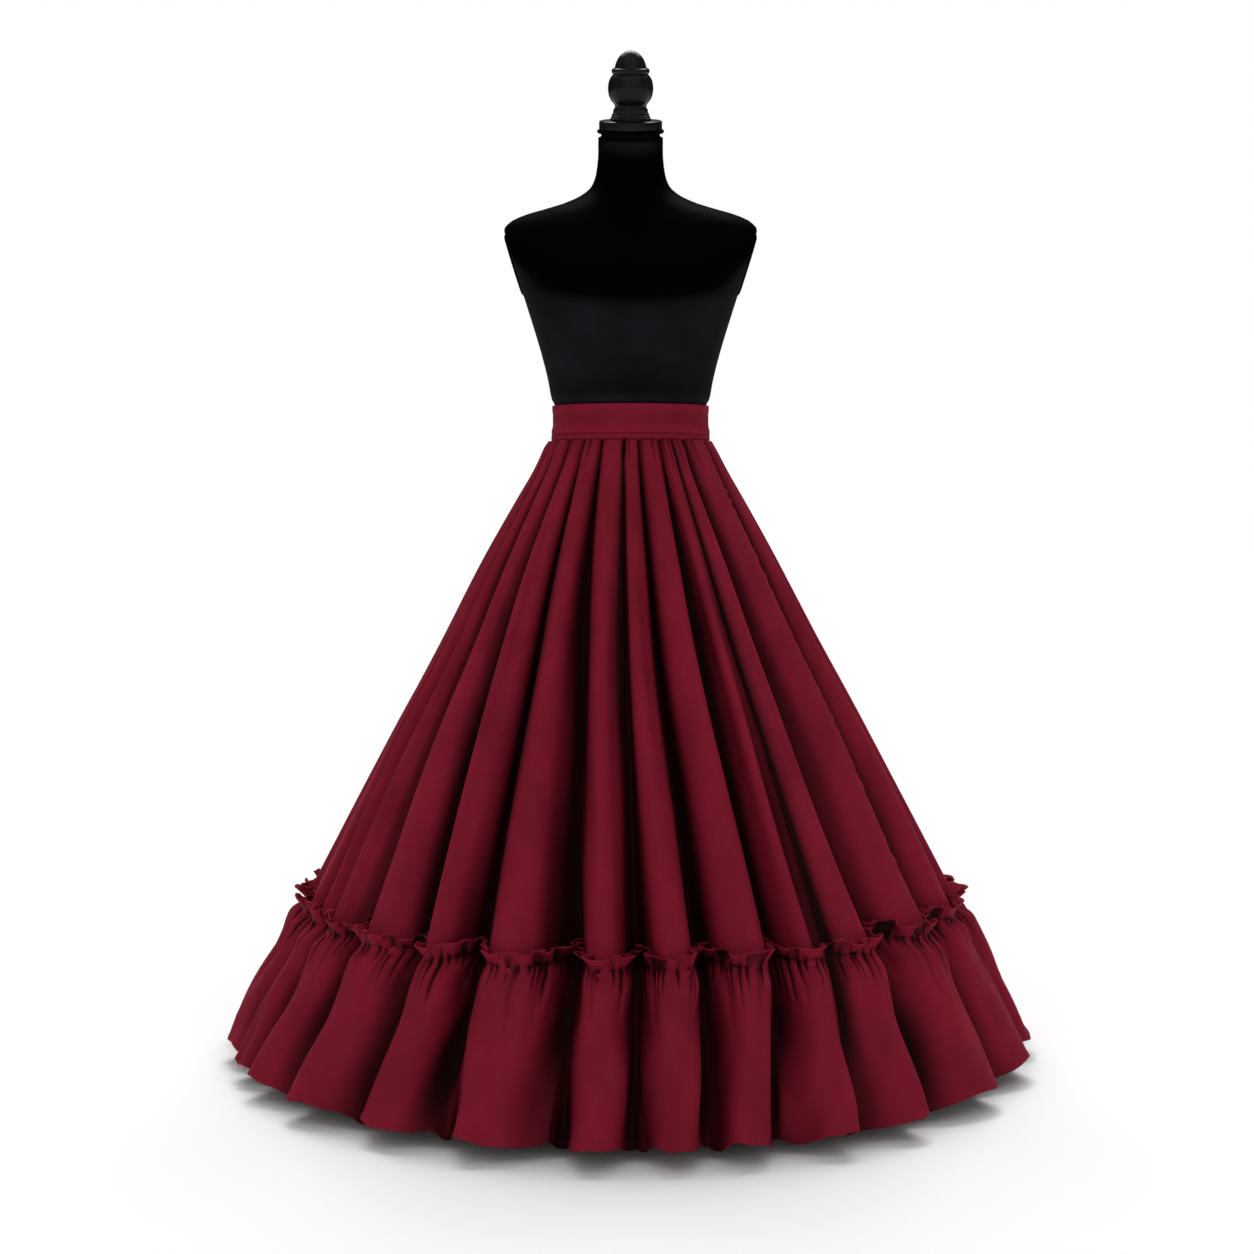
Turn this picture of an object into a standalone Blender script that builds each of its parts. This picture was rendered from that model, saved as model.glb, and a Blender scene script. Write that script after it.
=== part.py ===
"""A long full skirt with a gathered flounce, on a limbless dress form.

Metres, +Z up. The origin is on the floor under the middle of the stand, the front faces -Y, and angles
round the skirt are in degrees from the front towards +X. Each cloth piece is a wall between two sheets of
points.
"""

import math

import bmesh
import bpy
from mathutils import Matrix, Vector

# Driving sizes
HEM_RISE = 0.014  # how much higher a fold's crest hangs than its trough
STITCH_Z = 0.233  # the stitch line that gathers the flounce
HEADING, HEADING_LEAN = 0.016, 0.0085  # the frill left above the stitch line, and how far it leans out
GORE_TUCK, TUCK_CLEAR = 0.010, 0.010  # gore left below it, and how far off that the flounce stands
WAIST_Z = 0.942  # top edge of the gores
TAPE_H, TAPE_LIFT = 0.0092, 0.0026
BAND_H = 0.0450
CLOTH = 0.0020
BAND_CLOTH = 0.0026
SEAM_GAP = 0.0003
FIT_GAP = 0.0004  # between the form and the band round it

WAIST_HALF_W, WAIST_HALF_D = 0.1170, 0.0952  # the form inside the band
COLUMNS_PER_FOLD = 6
BAND_SIDES = 64
TAPE_SLIT_DEGREES = 0.25
FOLD_LEAN = 0.40  # how far the folds lean away from the middle of the front and of the back

# The gores' outline, over the fold crests: height, half width, half depth
OUTLINE = (
    (0.942, 0.1264, 0.1056),
    (0.929, 0.1334, 0.1140),
    (0.900, 0.1490, 0.1310),
    (0.852, 0.1770, 0.1610),
    (0.759, 0.2292, 0.2170),
    (0.635, 0.2939, 0.2850),
    (0.513, 0.3608, 0.3550),
    (0.391, 0.4253, 0.4220),
    (0.270, 0.4872, 0.4860),
    (0.223, 0.5110, 0.5105),
)
# The flounce below its stitch line, over the crests: height, half width, half depth
FLOUNCE_OUTLINE = (
    (0.208, 0.5250, 0.5245),
    (0.170, 0.5480, 0.5475),
    (0.110, 0.5830, 0.5825),
    (0.032, 0.6225, 0.6220),
)
HEM_Z = FLOUNCE_OUTLINE[-1][0]
# Troughs between the folds, round the skirt from the front-left: their angle at the waist, the stitch line
# and the hem, in degrees, their depth in millimetres at the waist, halfway, at the stitch line and at the
# hem, and how closed they are, from 0 for a wide trough to 1 for a slit.
TROUGHS = (
    (-92, -82, -84, 5, 24, 46, 34, 0.50),
    (-80, -70, -72, 3, 16, 40, 32, 0.50),
    (-70, -62, -64, 5, 34, 52, 36, 0.45),
    (-60, -52, -52, 5, 40, 58, 36, 0.40),
    (-46, -36, -38, 6, 42, 60, 42, 0.40),
    (-33, -27, -25, 7, 50, 76, 44, 0.35),
    (-20, -9, -10, 7, 56, 84, 50, 0.35),
    (-4, 1, 1, 3, 24, 68, 46, 0.50),
    (5, 12, 10, 7, 52, 76, 46, 0.40),
    (20, 24, 19, 7, 52, 74, 44, 0.35),
    (28, 32, 30, 0, 3, 10, 34, 0.60),
    (38, 45, 42, 7, 56, 78, 42, 0.35),
    (64, 62, 60, 6, 44, 66, 38, 0.45),
    (86, 78, 76, 4, 30, 54, 36, 0.45),
    (97, 89, 88, 5, 32, 56, 38, 0.50),
    (107, 99, 98, 6, 46, 70, 42, 0.40),
    (120, 112, 110, 4, 28, 56, 40, 0.55),
    (133, 126, 124, 7, 50, 74, 44, 0.40),
    (146, 140, 139, 5, 38, 64, 40, 0.50),
    (159, 153, 153, 7, 50, 74, 42, 0.40),
    (170, 167, 167, 4, 28, 58, 40, 0.55),
    (182, 181, 181, 7, 54, 78, 46, 0.35),
    (195, 195, 195, 5, 38, 62, 40, 0.50),
    (208, 209, 209, 7, 50, 74, 44, 0.40),
    (221, 224, 224, 4, 30, 56, 40, 0.55),
    (234, 239, 239, 7, 50, 74, 44, 0.40),
    (247, 253, 252, 5, 38, 62, 40, 0.50),
    (258, 266, 265, 6, 44, 66, 40, 0.40),
)
# Where each gore and each length of flounce starts, as a trough's number. They end where the next starts.
GORES = (("front", 2), ("left", 12), ("back", 17), ("right", 24))
GORE_HEIGHTS = (0.942, 0.922, 0.852, 0.700, 0.513, 0.350, 0.249, 0.233, 0.223)

# The form, from under the hips to the neck: height, half width, half depth, shift forward, tilt forward in
# degrees, and how square the section is, from 2 for an oval
FORM = (
    (0.770, 0.1480, 0.1120, 0.000, 0, 2.0),
    (0.780, 0.1540, 0.1170, 0.000, 0, 2.0),
    (0.815, 0.1530, 0.1170, 0.000, 0, 2.0),
    (0.860, 0.1400, 0.1080, 0.000, 0, 2.0),
    (0.900, 0.1270, 0.1000, 0.000, 0, 2.0),
    (0.925, 0.1195, 0.0965, 0.000, 0, 2.0),
    (0.944, 0.1170, 0.0952, 0.000, 0, 2.0),
    (0.997, 0.1170, 0.0952, 0.000, 0, 2.0),
    (1.007, 0.1220, 0.0990, 0.000, 0, 2.0),
    (1.037, 0.1278, 0.1020, 0.001, 0, 2.1),
    (1.075, 0.1372, 0.1065, 0.004, 0, 2.2),
    (1.115, 0.1490, 0.1140, 0.009, 0, 2.3),
    (1.155, 0.1625, 0.1180, 0.011, 0, 2.4),
    (1.190, 0.1768, 0.1120, 0.008, 0, 2.5),
    (1.222, 0.1895, 0.0990, 0.002, 0, 2.6),
    (1.250, 0.1960, 0.0840, -0.004, 0, 2.6),
    (1.268, 0.1950, 0.0745, -0.007, 0, 2.5),
    (1.280, 0.1850, 0.0690, -0.009, 1, 2.4),
    (1.290, 0.1650, 0.0650, -0.011, 2, 2.3),
    (1.300, 0.1330, 0.0615, -0.012, 4, 2.2),
    (1.310, 0.1020, 0.0590, -0.013, 6, 2.1),
    (1.322, 0.0760, 0.0565, -0.013, 8, 2.0),
    (1.336, 0.0600, 0.0545, -0.012, 10, 2.0),
    (1.356, 0.0530, 0.0525, -0.010, 12, 2.0),
    (1.385, 0.0500, 0.0508, -0.008, 14, 2.0),
    (1.408, 0.0498, 0.0500, -0.003, 15, 2.0),
    (1.410, 0.0453, 0.0453, -0.002, 15, 2.0),
    (1.420, 0.0453, 0.0453, 0.000, 15, 2.0),
)
FORM_SIDES = 40
NECK_TILT = math.radians(15)
NECK_TOP = Vector((0, 0, 1.420))

ARM_CENTRE = Vector((0.1790, 0.004, 1.214))  # the middle of the flat where an arm would be
ARM_LEAN = math.radians(17)  # that flat faces this much downwards
ARM_HALF_DEPTH, ARM_HALF_HEIGHT, ARM_PLATE_H = 0.041, 0.050, 0.0030
ARM_TAPER, ARM_RIM = 0.93, 0.0015
ARM_CUTTER = 0.12

ROLL_R, ROLL_MIDDLE_R = 0.0029, 0.0487  # the rolled top edge of the form's cover
CAP_R, CAP_H, CAP_RIM = 0.0484, 0.0130, 0.0020
# The finial, from its foot up: height, radius
FINIAL = (
    (0.0000, 0.0310),
    (0.0030, 0.0312),
    (0.0042, 0.0296),
    (0.0066, 0.0298),
    (0.0078, 0.0282),
    (0.0102, 0.0284),
    (0.0114, 0.0266),
    (0.0150, 0.0268),
    (0.0175, 0.0252),
    (0.0205, 0.0240),
    (0.0240, 0.0256),
    (0.0300, 0.0304),
    (0.0380, 0.0336),
    (0.0470, 0.0347),
    (0.0560, 0.0336),
    (0.0630, 0.0308),
    (0.0665, 0.0280),
    (0.0680, 0.0268),
    (0.0700, 0.0284),
    (0.0730, 0.0290),
    (0.0758, 0.0282),
    (0.0775, 0.0246),
    (0.0840, 0.0226),
    (0.0920, 0.0186),
    (0.0985, 0.0120),
    (0.1020, 0.0050),
    (0.1030, 0.0000),
)

POLE_R = 0.0140
BASE_R, BASE_H, BASE_BEVEL = 0.170, 0.014, (0.012, 0.005)
FLANGE_R, FLANGE_H = 0.045, 0.006
SOCKET_R, SOCKET_H, SLEEVE_RIM = 0.024, 0.050, 0.0015
FORM_BOTTOM = FORM[0][0]

BUTTON_R, BUTTON_H, BUTTON_RIM = 0.0090, 0.0030, 0.0008
BUTTON_HOLE_R, BUTTON_HOLE_AT = 0.0009, 0.0022
LAP_DEGREES, LAP_RAMP_DEGREES = 17, 22

BURGUNDY = ((0.135, 0.008, 0.018), 0.62, 0.0)
VELVET = ((0.005, 0.005, 0.006), 0.85, 0.0)
LACQUER = ((0.006, 0.006, 0.006), 0.25, 0.0)
STEEL_BLACK = ((0.012, 0.012, 0.013), 0.40, 0.0)
BUTTON_RED = ((0.100, 0.006, 0.014), 0.20, 0.0)


def clear_scene():
    for item in list(bpy.data.objects):
        bpy.data.objects.remove(item)


def collection(name):
    found = bpy.data.collections.new(name)
    bpy.context.scene.collection.children.link(found)
    return found


def material(name, colour, roughness, metallic):
    made = bpy.data.materials.new(name)
    made.use_nodes = True
    shader = made.node_tree.nodes["Principled BSDF"]
    shader.inputs["Base Color"].default_value = (*colour, 1)
    shader.inputs["Roughness"].default_value = roughness
    shader.inputs["Metallic"].default_value = metallic
    return made


def keep(mesh_maker, name, finish, home):
    """A bmesh becomes an object with its material."""
    mesh = bpy.data.meshes.new(name)
    mesh_maker.to_mesh(mesh)
    mesh_maker.free()
    obj = bpy.data.objects.new(name, mesh)
    home.objects.link(obj)
    if finish:
        mesh.materials.append(finish)
    return obj


def hide_cutter(obj):
    obj.hide_render = True
    obj.display_type = "WIRE"


def cut(target, cutter):
    modifier = target.modifiers.new("cut_" + cutter.name, "BOOLEAN")
    modifier.operation = "DIFFERENCE"
    modifier.object = cutter


def between(rows, at, column):
    """A table's column at a value of its first column, which rises or falls row by row."""
    ordered = sorted(rows)
    if at <= ordered[0][0]:
        return ordered[0][column]
    for low, high in zip(ordered, ordered[1:]):
        if at <= high[0]:
            share = (at - low[0]) / (high[0] - low[0])
            return low[column] + (high[column] - low[column]) * share
    return ordered[-1][column]


def mix(a, b, share):
    return a + (b - a) * share


# ------------------------------------------------------------------------------------ the folded cloth
def trough(number):
    """A trough's row, with its angles carried on past a full turn."""
    turns, row = divmod(number, len(TROUGHS))
    angles = [angle + 360 * turns for angle in TROUGHS[row][:3]]
    return angles, TROUGHS[row][3:7], TROUGHS[row][7]


def skirt_level(z):
    """0 at the waist, 1 at the stitch line and 2 at the hem."""
    if z >= STITCH_Z:
        return (WAIST_Z - z) / (WAIST_Z - STITCH_Z)
    return 1 + (STITCH_Z - z) / (STITCH_Z - HEM_Z)


def at_level(values, level):
    """A value from three given at the waist, the stitch line and the hem."""
    waist, stitch, hem = values
    return mix(waist, stitch, level) if level <= 1 else mix(stitch, hem, level - 1)


def trough_depth(depths, level):
    waist, halfway, stitch, hem = (depth / 1000 for depth in depths)
    if level <= 0.5:
        return mix(waist, halfway, level / 0.5)
    if level <= 1:
        return mix(halfway, stitch, (level - 0.5) / 0.5)
    return mix(stitch, hem, level - 1)


def fold_at(u, z):
    """The angle in radians and the depth below the crests at fold coordinate u, whole at each trough."""
    number = math.floor(u)
    share = u - number
    level = skirt_level(z)
    here, here_depths, here_closed = trough(number)
    there, there_depths, there_closed = trough(number + 1)
    here, there = at_level(here, level), at_level(there, level)
    near = share < 0.5
    turn = 2 * math.pi * share
    lean = FOLD_LEAN * math.sin(math.radians(here + there))
    closed = here_closed if near else there_closed
    spread = share - (closed * math.sin(turn) - lean * (1 - math.cos(turn))) / (2 * math.pi)
    angle = mix(here, there, spread)
    dip = math.cos(math.pi * share) ** 2
    depth = trough_depth(here_depths if near else there_depths, level)
    return math.radians(angle), depth * dip, dip


def on_outline(rows, u, z):
    """A point of the folded cloth: on the outline at the crests, and in from it in the troughs."""
    angle, depth, _ = fold_at(u, z)
    half_w, half_d = between(rows, z, 1), between(rows, z, 2)
    x, y = half_w * math.sin(angle), -half_d * math.cos(angle)
    inward = -Vector((x / half_w**2, y / half_d**2, 0)).normalized()
    return Vector((x, y, z)) + inward * depth


def gore_point(u, z):
    return on_outline(OUTLINE, u, z)


def outward(point_of, u, z):
    """The unit normal of a sheet of cloth, from points close by."""
    step_u, step_z = 0.02, 0.002
    along = point_of(u + step_u, z) - point_of(u - step_u, z)
    up = point_of(u, z + step_z) - point_of(u, z - step_z)
    return along.cross(up).normalized()


def wall(name, outer, inner, finish, home):
    """A closed wall between two sheets of points, given as rows from the top edge down."""
    made = bmesh.new()
    sheets = [[[made.verts.new(p) for p in row] for row in sheet] for sheet in (outer, inner)]
    rows, columns = len(outer), len(outer[0])

    def skin(a, b, c, d):
        made.faces.new((a, b, c, d))

    for front, flip in zip(sheets, (False, True)):
        for r in range(rows - 1):
            for c in range(columns - 1):
                corners = (front[r][c], front[r + 1][c], front[r + 1][c + 1], front[r][c + 1])
                skin(*(corners[::-1] if flip else corners))
    front, back = sheets
    for c in range(columns - 1):
        skin(front[0][c], front[0][c + 1], back[0][c + 1], back[0][c])
        skin(front[-1][c + 1], front[-1][c], back[-1][c], back[-1][c + 1])
    for r in range(rows - 1):
        skin(front[r + 1][0], front[r][0], back[r][0], back[r + 1][0])
        skin(front[r][-1], front[r + 1][-1], back[r + 1][-1], back[r][-1])
    return keep(made, name, finish, home)


def fold_columns(first, last):
    """Fold coordinates from one trough to another."""
    count = (last - first) * COLUMNS_PER_FOLD
    return [first + i / COLUMNS_PER_FOLD for i in range(count + 1)]


def clear_of_seams(row, normals):
    """The row with its two ends drawn in, along the cloth, by half the gap that a seam keeps."""
    row = list(row)
    for end, way in ((0, 1), (-1, -1)):
        along = Vector((0, 0, 1)).cross(normals[end]).normalized()
        row[end] = row[end] + along * way * SEAM_GAP / 2
    return row


def gore(name, first, last, finish, home):
    outer, inner = [], []
    for z in GORE_HEIGHTS:
        points = [gore_point(u, z) for u in fold_columns(first, last)]
        normals = [outward(gore_point, u, min(z, WAIST_Z - 0.004)) for u in fold_columns(first, last)]
        if z == WAIST_Z:
            normals = [Vector((n.x, n.y, 0)).normalized() for n in normals]
        outer.append(clear_of_seams(points, normals))
        inner.append(clear_of_seams([p - n * CLOTH for p, n in zip(points, normals)], normals))
    return wall(name, outer, inner, finish, home)


def flounce(name, first, last, finish, home):
    """The heading leans out from the gores, the stitch line lies on them, and the rest stands out below."""
    columns = fold_columns(first, last)
    outer, inner = [], []

    def add(points, normals):
        outer.append(clear_of_seams([p + n * CLOTH for p, n in zip(points, normals)], normals))
        inner.append(clear_of_seams(points, normals))

    gathered = ((STITCH_Z + HEADING, HEADING_LEAN), (STITCH_Z, 0), (STITCH_Z - GORE_TUCK, TUCK_CLEAR))
    for z, lift in gathered:
        normals = [outward(gore_point, u, z) for u in columns]
        points = [gore_point(u, z) + n * 2 * SEAM_GAP for u, n in zip(columns, normals)]
        add([p + Vector((p.x, p.y, 0)).normalized() * lift for p in points], normals)

    def below(u, z):
        return on_outline(FLOUNCE_OUTLINE, u, z)

    for z, *_ in FLOUNCE_OUTLINE:
        normals = [outward(below, u, max(z, HEM_Z + 0.003)) for u in columns]
        points = [below(u, z) - n * CLOTH for u, n in zip(columns, normals)]
        if z == HEM_Z:
            points = [p - Vector((0, 0, HEM_RISE * fold_at(u, z)[2])) for u, p in zip(columns, points)]
        add(points, normals)
    return wall(name, outer, inner, finish, home)


# ------------------------------------------------------------------------------------------- the waist
def on_waist(angle, lift):
    """A point of the waist's oval and the unit vector out of it there."""
    x, y = WAIST_HALF_W * math.sin(angle), -WAIST_HALF_D * math.cos(angle)
    out = Vector((x / WAIST_HALF_W**2, y / WAIST_HALF_D**2, 0)).normalized()
    return Vector((x, y, 0)) + out * lift


def waist_strip(name, low, high, lifts, thick, finish, home):
    """A strip of cloth round the waist. lifts has angles in degrees and how far it is off the form."""
    outer, inner = [], []
    for z in (high, low):
        up = Vector((0, 0, z))
        inner.append([on_waist(math.radians(a), lift) + up for a, lift in lifts])
        outer.append([on_waist(math.radians(a), lift + thick) + up for a, lift in lifts])
    return wall(name, outer, inner, finish, home)


def waistband(finish, home):
    """It starts behind its own end, goes once round, and climbs over its start to lap it."""
    start, end = 180 - LAP_DEGREES / 2, 540 + LAP_DEGREES / 2
    over = BAND_CLOTH + SEAM_GAP
    lifts = []
    for i in range(BAND_SIDES + 1):
        angle = mix(start, end, i / BAND_SIDES)
        climb = min(1, max(0, (angle - (end - LAP_DEGREES - LAP_RAMP_DEGREES)) / LAP_RAMP_DEGREES))
        lifts.append((angle, FIT_GAP + over * climb * climb * (3 - 2 * climb)))
    low = WAIST_Z + SEAM_GAP + TAPE_H + SEAM_GAP
    return waist_strip("waistband", low, low + BAND_H, lifts, BAND_CLOTH, finish, home)


def waist_tape(finish, home):
    """The narrow strip over the seam of band and gores, open by a hair at the back."""
    start, end = 180 + TAPE_SLIT_DEGREES, 540 - TAPE_SLIT_DEGREES
    lifts = [(mix(start, end, i / BAND_SIDES), TAPE_LIFT) for i in range(BAND_SIDES + 1)]
    low = WAIST_Z + SEAM_GAP
    return waist_strip("waist_tape", low, low + TAPE_H, lifts, BAND_CLOTH, finish, home)


def button(finish, home, cutters):
    """A flat round button with four holes, on the band's lap at the back."""
    back = on_waist(math.pi, FIT_GAP + 2 * BAND_CLOTH + 2 * SEAM_GAP).y
    at = Vector((0, back + BUTTON_H / 2, WAIST_Z + TAPE_H + BAND_H / 2))
    turn = Matrix.Rotation(math.pi / 2, 4, "X")
    made = bmesh.new()
    bmesh.ops.create_cone(
        made, cap_ends=True, segments=28, radius1=BUTTON_R, radius2=BUTTON_R, depth=BUTTON_H,
        matrix=Matrix.Translation(at) @ turn,
    )
    disc = keep(made, "waist_button", finish, home)
    rim = disc.modifiers.new("rounded_rim", "BEVEL")
    rim.width = BUTTON_RIM
    rim.segments = 2
    for side_x in (-1, 1):
        for side_z in (-1, 1):
            hole = bmesh.new()
            place = at + Vector((side_x * BUTTON_HOLE_AT, 0, side_z * BUTTON_HOLE_AT))
            bmesh.ops.create_cone(
                hole, cap_ends=True, segments=10, radius1=BUTTON_HOLE_R, radius2=BUTTON_HOLE_R,
                depth=BUTTON_H * 3, matrix=Matrix.Translation(place) @ turn,
            )
            cutter = keep(hole, f"button_hole_{side_x}_{side_z}", None, cutters)
            hide_cutter(cutter)
            cut(disc, cutter)
    return disc


# -------------------------------------------------------------------------------------------- the form
def bent(value, square):
    """A sine or cosine bent so that an oval becomes squarer; 2 leaves it as it is."""
    return math.copysign(abs(value) ** (2 / square), value)


def form_torso(finish, home, cutters):
    """A loft through the oval sections, closed at both ends and cut flat at the arms."""
    made = bmesh.new()
    rings = []
    for z, half_w, half_d, forward, tilt, square in FORM:
        lean = Matrix.Rotation(math.radians(tilt), 4, "X")
        ring = []
        for i in range(FORM_SIDES):
            angle = 2 * math.pi * i / FORM_SIDES
            x, y = half_w * bent(math.sin(angle), square), -half_d * bent(math.cos(angle), square)
            ring.append(made.verts.new(lean @ Vector((x, y, 0)) + Vector((0, -forward, z))))
        rings.append(ring)
    for low, high in zip(rings, rings[1:]):
        for i in range(FORM_SIDES):
            j = (i + 1) % FORM_SIDES
            made.faces.new((low[i], low[j], high[j], high[i]))
    made.faces.new(rings[0][::-1])
    made.faces.new(rings[-1])
    torso = keep(made, "form_torso", finish, home)
    for side in (-1, 1):
        made = bmesh.new()
        bmesh.ops.create_cube(
            made, size=ARM_CUTTER, matrix=Matrix.Diagonal((1, 3, 2, 1)),
        )
        cutter = keep(made, f"arm_cutter_{side}", None, cutters)
        cutter.matrix_world = arm_frame(side) @ Matrix.Translation((ARM_CUTTER / 2, 0, 0))
        hide_cutter(cutter)
        cut(torso, cutter)
    return torso


def arm_frame(side):
    """Local +X out of the arm's flat."""
    place = Matrix.Translation((side * ARM_CENTRE.x, ARM_CENTRE.y, ARM_CENTRE.z))
    facing = Matrix.Rotation(0 if side > 0 else math.pi, 4, "Z")
    return place @ facing @ Matrix.Rotation(ARM_LEAN, 4, "Y")


def arm_plate(name, side, finish, home):
    made = bmesh.new()
    bmesh.ops.create_cone(
        made, cap_ends=True, segments=36, radius1=1, radius2=ARM_TAPER, depth=ARM_PLATE_H,
        matrix=Matrix.Diagonal((ARM_HALF_HEIGHT, ARM_HALF_DEPTH, 1, 1)),
    )
    plate = keep(made, name, finish, home)
    stand_up = Matrix.Rotation(math.pi / 2, 4, "Y")
    plate.matrix_world = (
        arm_frame(side) @ Matrix.Translation((SEAM_GAP + ARM_PLATE_H / 2, 0, 0)) @ stand_up
    )
    rim = plate.modifiers.new("soft_rim", "BEVEL")
    rim.width = ARM_RIM
    rim.segments = 2
    rim.limit_method = "ANGLE"
    return plate


def turned(name, profile, steps, finish, home, ring=False):
    """A turned shape. The profile runs down its outer side, Screw spins it, and a ring's is closed."""
    made = bmesh.new()
    points = [made.verts.new((radius, 0, height)) for height, radius in profile[::-1]]
    for a, b in zip(points, points[1:] + points[:1] if ring else points[1:]):
        made.edges.new((a, b))
    shape = keep(made, name, finish, home)
    spin = shape.modifiers.new("turned", "SCREW")
    spin.steps = spin.render_steps = steps
    spin.use_merge_vertices = True
    spin.merge_threshold = 0.00005
    spin.use_smooth_shade = True
    return shape


def with_ends(profile):
    """The profile with a point on the axis at each end that stands off it."""
    rows = list(profile)
    if rows[0][1] > 0:
        rows.insert(0, (rows[0][0], 0.0))
    if rows[-1][1] > 0:
        rows.append((rows[-1][0], 0.0))
    return rows


def neck_frame():
    """Local +Z out of the neck's top, which leans forward."""
    return Matrix.Translation(NECK_TOP) @ Matrix.Rotation(NECK_TILT, 4, "X")


def neck_pieces(velvet, lacquer, home):
    disc = ((0, CAP_R), (CAP_H - CAP_RIM, CAP_R), (CAP_H, CAP_R - CAP_RIM))
    cap = turned("form_neck_cap", with_ends(disc), 40, lacquer, home)
    cap.matrix_world = neck_frame() @ Matrix.Translation((0, 0, SEAM_GAP))
    finial = turned("form_finial", with_ends(FINIAL), 32, lacquer, home)
    finial.matrix_world = neck_frame() @ Matrix.Translation((0, 0, CAP_H + 2 * SEAM_GAP))
    bpy.ops.mesh.primitive_torus_add(
        major_segments=40, minor_segments=8, major_radius=ROLL_MIDDLE_R, minor_radius=ROLL_R
    )
    roll = bpy.context.object
    roll.name = "form_neck_roll"
    roll.data.materials.append(velvet)
    for other in list(roll.users_collection):
        other.objects.unlink(roll)
    home.objects.link(roll)
    roll.matrix_world = neck_frame() @ Matrix.Translation((0, 0, -ROLL_R))


# ------------------------------------------------------------------------------------------- the stand
def stand(metal, home):
    bevel_in, bevel_down = BASE_BEVEL
    plate = ((0, BASE_R), (BASE_H - bevel_down, BASE_R), (BASE_H, BASE_R - bevel_in))
    turned("stand_base", with_ends(plate), 48, metal, home)
    pole_low = BASE_H + SEAM_GAP
    pole_high = FORM_BOTTOM - SEAM_GAP
    turned("stand_pole", with_ends(((pole_low, POLE_R), (pole_high, POLE_R))), 24, metal, home)
    sleeve("stand_socket", BASE_H + SEAM_GAP, SOCKET_R, SOCKET_H, metal, home)
    sleeve("form_flange", FORM_BOTTOM - SEAM_GAP - FLANGE_H, FLANGE_R, FLANGE_H, metal, home)


def sleeve(name, low, radius, height, metal, home):
    """A ring round the pole."""
    bore = POLE_R + SEAM_GAP
    profile = (
        (low, bore),
        (low, radius),
        (low + height - SLEEVE_RIM, radius),
        (low + height, radius - SLEEVE_RIM),
        (low + height, bore),
    )
    turned(name, profile, 32, metal, home, ring=True)


def main():
    clear_scene()
    skirt = collection("skirt_on_dress_form")
    cutters = collection("cutters")
    cloth = material("burgundy_cotton", *BURGUNDY)
    velvet = material("black_velvet", *VELVET)
    lacquer = material("black_lacquer", *LACQUER)
    metal = material("black_steel", *STEEL_BLACK)
    plastic = material("burgundy_button", *BUTTON_RED)
    starts = [start for _, start in GORES] + [GORES[0][1] + len(TROUGHS)]
    for (name, first), last in zip(GORES, starts[1:]):
        gore("gore_" + name, first, last, cloth, skirt)
        flounce("flounce_" + name, first, last, cloth, skirt)
    waistband(cloth, skirt)
    waist_tape(cloth, skirt)
    button(plastic, skirt, cutters)
    form_torso(velvet, skirt, cutters)
    arm_plate("form_arm_left", 1, velvet, skirt)
    arm_plate("form_arm_right", -1, velvet, skirt)
    neck_pieces(velvet, lacquer, skirt)
    stand(metal, skirt)


main()
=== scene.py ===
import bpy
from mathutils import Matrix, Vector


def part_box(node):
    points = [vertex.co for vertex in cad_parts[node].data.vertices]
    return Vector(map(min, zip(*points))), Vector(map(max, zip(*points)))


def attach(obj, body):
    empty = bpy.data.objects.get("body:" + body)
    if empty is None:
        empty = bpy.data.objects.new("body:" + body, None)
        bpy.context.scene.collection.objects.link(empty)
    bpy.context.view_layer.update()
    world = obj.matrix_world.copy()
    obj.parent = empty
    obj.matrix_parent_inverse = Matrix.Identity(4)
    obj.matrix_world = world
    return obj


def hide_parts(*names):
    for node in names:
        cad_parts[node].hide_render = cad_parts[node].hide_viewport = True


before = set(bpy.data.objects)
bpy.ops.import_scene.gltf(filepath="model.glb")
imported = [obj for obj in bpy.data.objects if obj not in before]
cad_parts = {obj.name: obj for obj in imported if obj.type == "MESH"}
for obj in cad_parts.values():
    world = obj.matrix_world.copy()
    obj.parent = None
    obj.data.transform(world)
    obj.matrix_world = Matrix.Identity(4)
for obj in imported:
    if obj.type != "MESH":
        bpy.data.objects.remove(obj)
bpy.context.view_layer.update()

"""The finish of a long full skirt with a gathered flounce, on a limbless dress form.

Metres. The front faces -Y, and angles round the skirt are in degrees from the front towards +X.
The skirt's sizes and folds are those of its solids; what this file adds is the fine surface, the
sewing and the materials.
"""

import math
import random

import bmesh
import bpy
import numpy as np
from mathutils import Matrix, Vector

# ------------------------------------------------------------ the skirt's own sizes
HEM_RISE = 0.014  # how much lower the hem hangs in a trough than on a crest
STITCH_Z = 0.233  # where the flounce is sewn on
GORE_TUCK = 0.010  # how far the gores go on down behind it
WAIST_Z = 0.942
TAPE_H = 0.0092
BAND_H = 0.0450
SHELL = 0.0012  # the shown cloth's thickness
SEAM_GAP = 0.0003
WAIST_HALF_W, WAIST_HALF_D = 0.1170, 0.0952
BAND_LIFT = 0.0004  # off the form
FOLD_LEAN = 0.40  # how far the folds lean away from the middle of the front and of the back
WAIST_CLOSED = 0.96  # the troughs start as slits under the band
OPENED = 0.42  # the share of the way to the stitch line where they have their own width
BOXED = 0.8  # 1 makes the lower folds flat on their crests, with steep sides

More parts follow.
